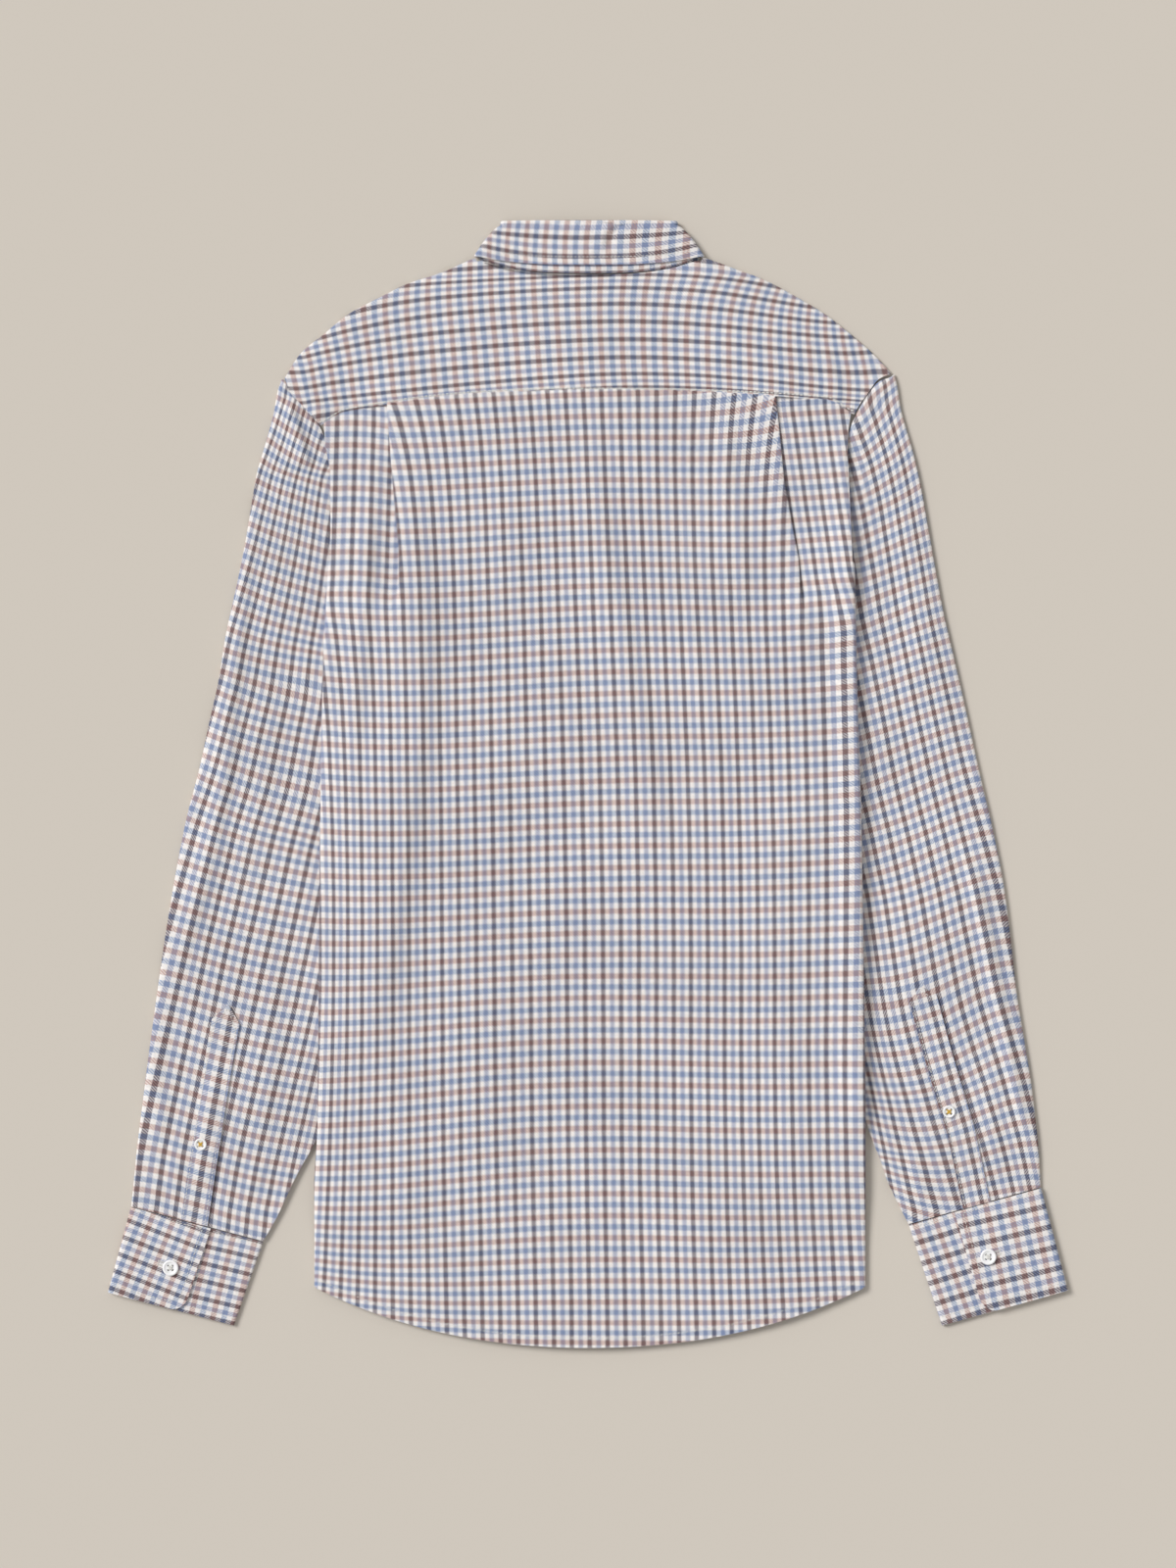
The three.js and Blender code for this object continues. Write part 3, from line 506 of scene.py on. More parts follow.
@dataclass
class Panel:
    """A cloth wall made from a grid of middle points, with the cloth's own coordinates."""

    node: str
    mid: Array
    warp_left: Array
    warp_right: Array
    weft: Array
    cut: tuple[float, float]
    area: float | None = None
    held: str = "folded"
    grain: Grain = Grain.LENGTHWISE
    thickness: Array | float = SIZES.cloth

    @classmethod
    def of(cls, node: str, mid: Array, warp: Array, weft: Array, cut: tuple[float, float],
           **more: object) -> "Panel":
        """Makes a panel whose warp runs on from face to face.

        Args:
            node: Node that it stands for.
            mid: Its grid of middle points.
            warp: Warp coordinate of each point.
            weft: Weft coordinate of each point.
            cut: Flat size of the cloth in metres.
            **more: Its other fields.

        Returns:
            The panel.
        """
        return cls(node, mid, warp[:, :-1], warp[:, 1:], weft, cut, **more)

    @property
    def name(self) -> str:
        """Name of the piece."""
        return f"{self.node}_cloth"

    def normals(self) -> Array:
        """Works out the normal of the cloth at each middle point.

        Returns:
            Unit normals in the same grid.
        """
        u = np.gradient(self.mid, axis=1)
        v = np.gradient(self.mid, axis=0)
        n = np.cross(u, v)
        n /= np.maximum(np.linalg.norm(n, axis=2, keepdims=True), 1e-9)
        return n

    def build(self) -> bpy.types.Object:
        """Makes the wall's mesh with its coordinates and rides it on the shirt.

        Returns:
            The new object.
        """
        rows, cols = self.mid.shape[:2]
        normal = self.normals()
        half = np.asarray(self.thickness, float).reshape(-1, 1, 1) / 2.0
        top = self.mid + normal * half
        low = self.mid - normal * half
        low[..., 2] = np.maximum(low[..., 2], 0.0)
        top[..., 2] = np.maximum(top[..., 2], 0.0)
        points = np.concatenate([top.reshape(-1, 3), low.reshape(-1, 3)]) * MM
        grid = np.arange(rows * cols).reshape(rows, cols)
        under = grid + rows * cols
        a, b = grid[:-1, :-1], grid[:-1, 1:]
        c, d = grid[1:, 1:], grid[1:, :-1]
        faces = [np.stack([a, b, c, d], -1).reshape(-1, 4),
                 np.stack([a, d, c, b], -1).reshape(-1, 4) + rows * cols]
        wl, wr, wf = self.warp_left, self.warp_right, self.weft
        corner_u = np.stack([wl[:-1], wr[:-1], wr[1:], wl[1:]], -1).reshape(-1, 4)
        corner_v = np.stack([wf[:-1, :-1], wf[:-1, 1:], wf[1:, 1:], wf[1:, :-1]], -1).reshape(-1, 4)
        us = [corner_u, corner_u[:, [0, 3, 2, 1]]]
        vs = [corner_v, corner_v[:, [0, 3, 2, 1]]]
        rims = [(grid[0], under[0], 0), (grid[-1], under[-1], -1)]
        for upper, lower, row in rims:
            quad = np.stack([upper[:-1], lower[:-1], lower[1:], upper[1:]], -1)
            faces.append(quad if row == 0 else quad[:, ::-1])
            cu = np.stack([wl[row], wl[row], wr[row], wr[row]], -1)
            cv = np.stack([wf[row, :-1], wf[row, :-1], wf[row, 1:], wf[row, 1:]], -1)
            us.append(cu if row == 0 else cu[:, ::-1])
            vs.append(cv if row == 0 else cv[:, ::-1])
        for col, edge in ((0, wl[:, 0]), (-1, wr[:, -1])):
            upper, lower = grid[:, col], under[:, col]
            quad = np.stack([upper[:-1], upper[1:], lower[1:], lower[:-1]], -1)
            faces.append(quad if col == 0 else quad[:, ::-1])
            cu = np.stack([edge[:-1], edge[1:], edge[1:], edge[:-1]], -1)
            cv = np.stack([wf[:-1, col], wf[1:, col], wf[1:, col], wf[:-1, col]], -1)
            us.append(cu if col == 0 else cu[:, ::-1])
            vs.append(cv if col == 0 else cv[:, ::-1])
        quads = np.concatenate(faces)
        volume = self.signed_volume(points, quads)
        cloth_u = np.concatenate(us)
        cloth_v = np.concatenate(vs)
        if volume < 0.0:
            quads = quads[:, ::-1]
            cloth_u = cloth_u[:, ::-1]
            cloth_v = cloth_v[:, ::-1]
        mesh = bpy.data.meshes.new(self.name)
        mesh.from_pydata(points.tolist(), [], quads.tolist())
        layer = mesh.uv_layers.new(name="Cloth")
        layer.data.foreach_set("uv", np.stack([cloth_u.ravel(), cloth_v.ravel()], -1).ravel() * MM * UV_SCALE)
        bake = mesh.uv_layers.new(name="OFBake")
        bake.data.foreach_set("uv", self.bake_layout(quads, rows, cols).ravel())
        mesh.shade_smooth()
        self.sharpen_rims(mesh, rows, cols)
        mesh.validate()
        item = link(self.name, mesh)
        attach(item, "root")
        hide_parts(self.node)
        return item

    @staticmethod
    def signed_volume(points: Array, quads: Array) -> float:
        """Returns six times the volume inside the faces, negative if they face inwards."""
        a, b, c, d = (points[quads[:, k]] for k in range(4))
        first = np.einsum("ij,ij->i", a, np.cross(b, c))
        second = np.einsum("ij,ij->i", a, np.cross(c, d))
        return float((first + second).sum())

    def bake_layout(self, quads: Array, rows: int, cols: int) -> Array:
        """Lays the upper face of the wall beside its lower face.

        Args:
            quads: The faces.
            rows: Rows of the grid.
            cols: Columns of the grid.

        Returns:
            One pair for each corner of each face.
        """
        step = np.hypot(*np.moveaxis(np.diff(self.mid, axis=1).mean(axis=0)[:, [0, 2]], -1, 0))
        run = np.concatenate([[0.0], np.cumsum(step + 1e-3)])
        share_u = run / run[-1]
        index = quads.reshape(-1)
        side = index >= rows * cols
        flat = index % (rows * cols)
        u = share_u[flat % cols] * 0.49 + np.where(side, 0.505, 0.005)
        v = (flat // cols) / (rows - 1) * 0.99 + 0.005
        return np.stack([u, v], -1)

    @staticmethod
    def sharpen_rims(mesh: bpy.types.Mesh, rows: int, cols: int) -> None:
        """Marks the edges round the wall as sharp.

        Args:
            mesh: The wall's mesh.
            rows: Rows of the grid.
            cols: Columns of the grid.
        """
        count = rows * cols
        border = np.zeros((rows, cols), bool)
        border[0] = True
        border[-1] = True
        border[:, 0] = True
        border[:, -1] = True
        rim = np.concatenate([border.ravel(), border.ravel()])
        ends = np.zeros(len(mesh.edges) * 2, np.int32)
        mesh.edges.foreach_get("vertices", ends)
        ends = ends.reshape(-1, 2)
        layer = ends // count
        flat = ends % count
        gap = np.abs(flat[:, 0] - flat[:, 1])
        on_rim = rim[ends[:, 0]] & rim[ends[:, 1]] & (layer[:, 0] == layer[:, 1]) & (gap > 0)
        sharp = mesh.attributes.new("sharp_edge", "BOOLEAN", "EDGE")
        sharp.data.foreach_set("value", on_rim)


@dataclass(frozen=True)
class Grainline:
    """How far the stripes stray from a straight run where the cloth has been pulled about."""

    degree: int
    frame: tuple[float, float, float, float]
    warp: tuple[float, ...]
    weft: tuple[float, ...]

    def stray(self, terms: tuple[float, ...], x: Array, y: Array) -> Array:
        """Works out one low surface.

        Args:
            terms: Its terms, by power across and then by power along.
            x: Places across.
            y: Places along.

        Returns:
            The stray at each place in mm.
        """
        u = np.clip((x - self.frame[0]) / self.frame[2], -1.05, 1.05)
        v = np.clip((y - self.frame[1]) / self.frame[3], -1.05, 1.05)
        powers = [(i, j) for i in range(self.degree + 1) for j in range(self.degree + 1 - i)]
        return sum(term * u ** i * v ** j for term, (i, j) in zip(terms, powers))

    def warp_at(self, x: Array, y: Array) -> Array:
        """Returns the stray across the warp stripes."""
        return self.stray(self.warp, x, y)

    def weft_at(self, x: Array, y: Array) -> Array:
        """Returns the stray across the weft stripes."""
        return self.stray(self.weft, x, y)


GRAIN = {
    "back_mid": Grainline(6, (2, -62, 191, 337),
        (-4.14, -2.25, 10, 5.28, -11.07, -2.21, 5.38, -7.3, 1.81, 20.55, 10.88, -17.77, -13.34, 7.51, -5,
         -8.48, 1.25, -4, 23.06, 4.19, -29.25, -11.07, -8.94, 2.64, 18.12, -11.45, -10.81, -4.48),
        (6.46, -2.6, -5.74, -4.5, 20.72, 5.85, -14.53, -4.94, -10.91, 2.17, 32.22, 1.76, -25.53, 10.95,
         -3.5, 36.28, 9.15, -44.18, -2.85, 17.35, -3.9, -23.15, -16.23, -7.14, -10.79, 2.52, -6.32, 5.06)),
    "back_left": Grainline(2, (-161, 199, 19, 61),
        (-7.73, -2.94, 0, -0.42, -0.14, 0.55),
        (11.05, 0.08, -0.74, 1.13, -0.18, 1.1)),
    "back_right": Grainline(1, (160, 203, 21, 64),
        (6.98, 8.29, 1.28),
        (2.4, 0.64, -1.28)),
    "yoke": Grainline(5, (-1, 317, 206, 45),
        (-3.1, -1.88, 1.49, 1.01, -6.39, 9.46, -7.08, 2.38, -2.23, 4.66, -8.18, 20.58, 3.92, 8.21, -11.92,
         15.75, -1.92, 18.1, -1.35, 8.73, -18.62),
        (-1.45, 2.53, -0.43, -1.02, -1.95, 1.63, 2.33, -7.4, -7.02, -2.19, 1.51, -4.7, -6.77, -4.78,
         -11.54, -5.51, 8.29, 6.34, 13.18, 19.06, 14.68)),
    "sleeve_left": Grainline(4, (-251, -14, 65, 295),
        (3.31, -10.9, 0.28, -23.27, -15.16, 0.68, 17.66, 22.78, 3.59, -1.53, 7.01, 6.65, -6.44, -11.17,
         7.66),
        (-3.7, -11.47, 10.46, -6.99, -12.53, 6.94, 5.79, 17.09, 7.11, -6.31, -0.68, -2.73, -3.11, -2.12,
         4.75)),
    "sleeve_right": Grainline(4, (260, -12, 62, 293),
        (3.88, -9.12, 7.75, -13.29, -1.88, -3.87, -9.98, 4.9, 0.36, 6.8, 24.56, 12.63, 14.06, 27.87,
         7.82),
        (6.16, -15.17, 27.31, -13.14, -41.83, -8.74, 26, -10.26, -49.86, 7.62, 16.78, -13.43, 11.69, 0.31,
         4.06)),
    "gauntlet_left": Grainline(1, (-268, -244, 18, 69),
        (4.09, -1.12, 3.94),
        (3.37, -0.06, 2.34)),
    "gauntlet_right": Grainline(1, (251, -203, 22, 46),
        (-6.14, 1.1, 1.36),
        (6.56, -1.58, -1.11)),
    "cuff_left": Grainline(1, (-306, -338, 31, 32),
        (0.93, -1.85, 3.02),
        (5.7, 3.87, 0.61)),
    "cuff_left_in": Grainline(1, (-265, -352, 21, 29),
        (1.3, -0.39, -0.6),
        (0.79, -4.69, -0.61)),
    "cuff_right": Grainline(1, (302, -331, 35, 39),
        (-1.39, -1.01, 1.43),
        (3.93, -2.35, -2.2)),
    "cuff_right_in": Grainline(1, (262, -345, 23, 36),
        (0, -1.54, -0.29),
        (14.62, -0.71, 1.82)),
    "collar": Grainline(2, (3, 385, 72, 14),
        (-0.44, -4.08, -0.12, -0.28, 0.06, -2.25),
        (-6.53, -0.65, -0.79, -2, 0.23, -9.25)),
}
BACK_CREASES = (
    Crease(((-134, 250), (-128, 200), (-122, 154), (-117, 89), (-133, -14), (-145, -107), (-157, -219)),
           22.0, 5.0,
           -0.34),
    Crease(((-153, 262), (-150, 205), (-158, 150), (-163, 100), (-166, 40), (-168, -20)), 8.0, 2.2, -0.3),
    Crease(((-2, 270), (5, 205), (16, 140), (28, 90), (45, -5), (61, -75)), 15.0, 2.8, -0.4),
    Crease(((64, 137), (77, 94), (81, 56), (92, 12), (98, -32)), 5.5, 1.1, 0.3),
    Crease(((102, 272), (101, 219), (107, 173), (116, 120)), 9.0, 1.8, -0.4),
    Crease(((133, 262), (134, 214), (143, 176), (153, 120), (157, 60)), 8.0, 1.2),
    Crease(((191, 146), (178, 143), (162, 146)), 5.0, 1.5),
    Crease(((193, 68), (178, 64), (158, 68)), 5.0, 1.5),
    Crease(((193, 55), (182, 54), (166, 58)), 4.0, -0.8),
    Crease(((-186, 130), (-172, 96), (-150, 70)), 7.0, 1.0),
    Crease(((-188, 40), (-176, -10), (-160, -60)), 8.0, 1.1),
    Crease(((-60, 250), (-58, 190), (-50, 120)), 10.0, 0.7),
    Crease(((-60, -120), (-20, -200), (10, -300)), 15.0, 1.0),
    Crease(((120, -80), (140, -180), (150, -300)), 14.0, 1.2),
    Crease(((-150, -180), (-132, -260), (-122, -340)), 12.0, 1.2),
    Crease(((188, -60), (180, -150), (184, -240)), 8.0, 1.0),
)
YOKE_CREASES = (
    Crease(((-206, 296), (-201, 284), (-194, 270), (-189, 256)), 4.0, 2.2),
    Crease(((-193, 300), (-184, 284), (-178, 266)), 6.0, 1.3),
    Crease(((166, 312), (175, 292), (179, 266)), 4.5, 2.2),
    Crease(((150, 322), (160, 300), (164, 276)), 7.0, 1.1),
    Crease(((-150, 330), (-120, 322), (-80, 330)), 10.0, 0.7),
    Crease(((60, 345), (110, 330), (160, 318)), 12.0, 0.9),
    Crease(((-60, 352), (-40, 330), (-30, 300)), 8.0, 0.6),
    Crease(((60, 300), (80, 320), (84, 350)), 9.0, -0.5),
)


@dataclass
class BackPanel:
    """The back: two knife pleats below the yoke seam and both sides turned under."""

    row_step: float = 4.0
    pleat_steps: int = 5
    pleat_spread: float = 0.4
    fold_steps: int = 9
    inner_steps: int = 45
    outer_steps: int = 17
    strip_steps: int = 12

    def half(self, side: Side, y: float) -> tuple[Array, Array, Array, Array]:
        """Lays out one half of a row from the middle to the end of the turned strip.

        Args:
            side: The half to make.
            y: The row's place at the body's edge.

        Returns:
            Points, the x at which each one's stripes are read, the length run on from there,
            and the part of the row: 0 inner, 1 folded, 2 outer, 3 past the edge.
        """
        sign = float(side.value)
        fold_x = abs(float(BODY.pleat_x(side, y)))
        xs = np.linspace(0.0, fold_x - SIZES.pitch / 2.0, self.inner_steps + 1)[1:]
        zs = BODY.back_height(side, xs * sign, y, False)
        folded = float(smooth(SIZES.pleat_end, SIZES.pleat_shut, y))
        angle = max(0.06, math.pi * folded)
        depth = max(0.6, SIZES.pleat_depth * float(smooth(SIZES.pleat_flat - 12.0, 262.0, y)))
        r = SIZES.pitch / 2.0
        bend = np.linspace(0.0, angle, self.pleat_steps + 1)[1:]
        spread = self.pleat_spread * (1.0 - folded) * np.arange(1, self.pleat_steps + 1)
        x1 = xs[-1] + r * np.sin(bend) + spread
        z1 = zs[-1] - r * (1.0 - np.cos(bend))
        run = np.array([0.5, 1.0]) * depth
        x2 = x1[-1] + math.cos(angle) * run
        z2 = z1[-1] - math.sin(angle) * run
        back = angle - bend
        x3 = x2[-1] + r * (math.sin(angle) - np.sin(back)) + spread
        z3 = z2[-1] - r * (np.cos(back) - math.cos(angle))
        pleat = len(xs)
        xs = np.concatenate([xs, x1, x2, x3])
        zs = np.concatenate([zs, z1, z2, z3])
        after = len(xs)
        radius = SIZES.side_radius
        z_edge = float(BODY.back_edge(y))
        start = abs(float(BODY.edge(side, y))) - radius - SIZES.cloth / 2.0
        share = np.linspace(0.0, 1.0, self.outer_steps + 1)[1:]
        outer = mix(xs[-1], start, share)
        base = BODY.back_height(side, outer * sign, y, True)
        first = BODY.back_height(side, np.array([xs[-1] * sign]), y, True)[0]
        outer_z = base + (zs[-1] - first) * (1.0 - smooth(0.0, 0.5, share))
        outer_z = mix(outer_z, z_edge, smooth(0.85, 1.0, share))
        turn = max(0.05, float(BODY.turn_angle(y)))
        a = np.linspace(0.0, turn, self.fold_steps + 1)[1:]
        fx = start + radius * np.sin(a)
        fz = z_edge - radius * (1.0 - np.cos(a))
        strip = max(0.4, float(BODY.turned(y))) * np.linspace(0.0, 1.0, self.strip_steps + 1)[1:]
        sx = fx[-1] + math.cos(turn) * strip
        sz = fz[-1] - math.sin(turn) * strip
        all_x = np.concatenate([xs, outer, fx, sx]) * sign
        all_z = np.concatenate([zs, outer_z, fz, sz])
        past = np.concatenate([np.zeros(after + len(outer)), a * radius, a[-1] * radius + strip])
        edge_x = float(BODY.edge(side, y))
        part = np.repeat([0, 1, 2, 3], [pleat, after - pleat, len(outer), len(fx) + len(sx)])
        length = np.cumsum(np.hypot(np.diff(all_x, prepend=all_x[0]), np.diff(all_z, prepend=all_z[0])))
        inside = (part == 1) & (depth > 1.5)
        anchor = np.where(part == 3, start * sign, np.where(inside, all_x[pleat - 1], all_x))
        extra = sign * np.where(part == 3, past, np.where(inside, length - length[pleat - 1], 0.0))
        ys = BODY.row_y(np.where(part == 3, edge_x, all_x), y, True)
        ys = ys + HEM_PULL * np.maximum(0.0, past - math.pi * radius) * float(smooth(HEM_TOP,
                                                                                     SIZES.hem_side, y))
        return np.stack([all_x, ys, all_z], -1), anchor, extra, part

    @staticmethod
    def stripes_at(x: Array, y: Array, outer: Array) -> tuple[Array, Array]:
        """Reads the cloth's coordinates of what shows.

        Args:
            x: Places across.
            y: Places along.
            outer: True outside the pleats.

        Returns:
            Warp and weft coordinates.
        """
        share = np.where(outer, smooth(105.0, 150.0, y), 0.0)
        middle = GRAIN["back_mid"]
        left, right = GRAIN["back_left"], GRAIN["back_right"]
        warp = np.where(x < 0.0, left.warp_at(x, y), right.warp_at(x, y))
        weft = np.where(x < 0.0, left.weft_at(x, y), right.weft_at(x, y))
        warp = mix(middle.warp_at(x, y), warp, share) + x + 0.0225 * (y - 184.0)
        return warp, mix(middle.weft_at(x, y), weft, share) + y

    def panel(self) -> Panel:
        """Makes the back panel's grid.

        Returns:
            The panel.
        """
        ys = list(np.arange(263.0, 176.0, -self.row_step)) + list(np.arange(175.0, 118.0, -2.0))
        ys += list(np.arange(116.0, -352.0, -self.row_step)) + [-354.0, SIZES.hem_side]
        rows, anchors, extras, parts = [], [], [], []
        for y in ys:
            left, right = self.half(Side.LEFT, y), self.half(Side.RIGHT, y)
            mid_z = BODY.back_height(Side.RIGHT, np.array([0.0]), y, False)[0]
            mid = np.array([[0.0, float(BODY.row_y(np.array([0.0]), y, True)[0]), mid_z]])
            rows.append(np.concatenate([left[0][::-1], mid, right[0]]))
            for store, k in ((anchors, 1), (extras, 2), (parts, 3)):
                store.append(np.concatenate([left[k][::-1], [0.0], right[k]]))
        tuck = rows[0].copy()
        tuck[:, 1] += 3.2
        tuck[:, 2] -= 1.15
        rows[0][:, 1] += 0.5
        grid = np.stack([tuck] + rows)
        anchor, extra, part = (np.stack([store[0]] + store) for store in (anchors, extras, parts))
        self.relief(grid, part < 3)
        y = grid[..., 1]
        warp, weft = self.stripes_at(anchor, y, part > 1)
        warp = warp + extra
        left_side = warp[:, :-1].copy()
        right_side = warp[:, 1:].copy()
        outside = self.stripes_at(grid[..., 0], y, np.ones(y.shape, bool))[0]
        left_side = np.where((part[:, :-1] == 1) & (part[:, 1:] == 2), outside[:, :-1], left_side)
        right_side = np.where((part[:, :-1] == 2) & (part[:, 1:] == 1), outside[:, 1:], right_side)
        return Panel("back", grid, left_side, right_side, weft, (0.60, 0.69), area=0.35)

    @staticmethod
    def relief(grid: Array, top: Array) -> None:
        """Adds creases, slow waves and the pull of the seams to the upper layer.

        Args:
            grid: The panel's points, changed in place.
            top: False where the cloth has turned past the edge.
        """
        x, y = grid[..., 0], grid[..., 1]
        edge = np.minimum(x - BODY.edge(Side.LEFT, y), BODY.edge(Side.RIGHT, y) - x)
        inside = smooth(0.5, 9.0, edge) * np.where(top, 1.0, 0.0)
        lift = raised(x, y, (0.42, 1.7, 0.25), BACK_CREASES)
        pucker = Pucker(0.16, 0.74, 1.2, 0.11, 9.0).lift(x, BODY.seam(x) - y)
        hem = Pucker(0.22, 0.55, 2.0, 0.07, 7.0).lift(x, y - BODY.hem(x) - 4.0)
        grid[..., 2] += BackPanel.edge_roll(grid)
        grid[..., 2] += np.clip(lift, -0.5, 4.6) * inside + (pucker + hem) * inside

    @staticmethod
    def edge_roll(grid: Array) -> Array:
        """Works out the roll along the right side, where the sleeve lies beneath.

        Args:
            grid: The panel's points.

        Returns:
            How much the roll lifts each point.
        """
        x, y, z = grid[..., 0], grid[..., 1], grid[..., 2]
        edge = BODY.edge(Side.RIGHT, y) - x
        top = BODY.back_edge(y)
        share = np.clip((z - top + 3.9) / 3.9, 0.0, 1.0)
        reach = (1.0 - smooth(4.0, 22.0, edge)) * smooth(-258.0, -225.0, y) * (1.0 - smooth(225.0, 262.0, y))
        return 4.7 * share * reach * np.where(x > 0.0, 1.0, 0.0)


@dataclass
class FrontPanel:
    """One front, hidden beneath: from the band to the turned side, neck and yoke seam above."""

    side: Side
    band_half: float = 16.0
    neck_bend: float = 1.6
    fold_steps: int = 6
    strip_steps: int = 8

    def top(self, x: Array) -> Array:
        """Returns the y of the front's upper edge at x."""
        share = np.minimum(1.0, np.abs(x - NECK_SHIFT) / SIZES.neck_side) ** self.neck_bend
        neck = mix(SIZES.front_neck, SIZES.neck_side_y, share)
        return np.minimum(neck - 2.5, BODY.front_seam(x) - 1.5)

    def row(self, y: float, rise: float) -> Array:
        """Lays out one row.

        Args:
            y: The row's place at the body's edge.
            rise: Share of the way up from the armhole to the upper edge.

        Returns:
            The row's points and running warp in the last column.
        """
        sign = float(self.side.value)
        edge = abs(float(BODY.edge(self.side, min(y, ARMHOLE_FOOT))))
        radius = SIZES.pitch / 2.0
        z_edge = float(BODY.front_edge(y))
        start = edge - SIZES.side_radius - SIZES.cloth / 2.0
        full = abs(float(BODY.edge(self.side, y))) - float(BODY.turned(y)) - 6.0
        ramp = float(mix(16.0, SIZES.ramp, BODY.turned(y) / SIZES.side_turn))
        xs = np.concatenate([mix(self.band_half + 0.3, full - ramp, np.linspace(0, 1, 16)),
                             np.linspace(full - ramp, full, 9)[1:], np.linspace(full, start, 9)[1:]])
        xs = np.minimum(xs, start) * sign
        hem = (BODY.hem(xs) - SIZES.hem_side) * float(smooth(HEM_TOP, SIZES.hem_side, y))
        ys = y + hem
        ys = mix(ys, self.top(xs), rise)
        share = BODY.edge_share(self.side, xs, np.full(xs.shape, y))
        zs = mix(SIZES.floor + BODY.leaf_bump(xs, ys), z_edge, share)
        turn = max(0.05, float(BODY.turn_angle(y)))
        a = np.linspace(0.0, turn, self.fold_steps + 1)[1:]
        fx = start + radius * np.sin(a)
        fz = z_edge - radius * (1.0 - np.cos(a))
        strip = max(0.4, float(BODY.turned(y)) - SIZES.side_radius)
        strip = strip * np.linspace(0.0, 1.0, self.strip_steps + 1)[1:]
        sx = fx[-1] + math.cos(turn) * strip
        sz = fz[-1] - math.sin(turn) * strip
        run = np.concatenate([a * radius, a[-1] * radius + strip])
        ye = ys[-1] + HEM_PULL * np.concatenate([np.zeros(self.fold_steps), strip]) * float(smooth(HEM_TOP,
                                                                                     SIZES.hem_side, y))
        outer = np.stack([np.concatenate([fx, sx]) * sign, ye, np.concatenate([fz, sz]),
                          sign * (start + run)], -1)
        return np.concatenate([np.stack([xs, ys, zs, xs], -1), outer])

    def panel(self) -> Panel:
        """Makes the front panel's grid.

        Returns:
            The panel.
        """
        rows = [self.row(263.0, rise) for rise in np.linspace(1.0, 0.08, 14)]
        ys = list(np.arange(263.0, 176.0, -6.0)) + list(np.arange(175.0, 118.0, -2.5))
        ys += list(np.arange(114.0, -350.0, -6.0)) + [-354.0, SIZES.hem_side]
        rows += [self.row(y, 0.0) for y in ys]
        grid = np.stack(rows)
        warp = grid[..., 3]
        points = grid[..., :3].copy()
        return Panel.of(self.side.piece("front"), points, warp, points[..., 1], (0.25, 0.70), area=0.16)


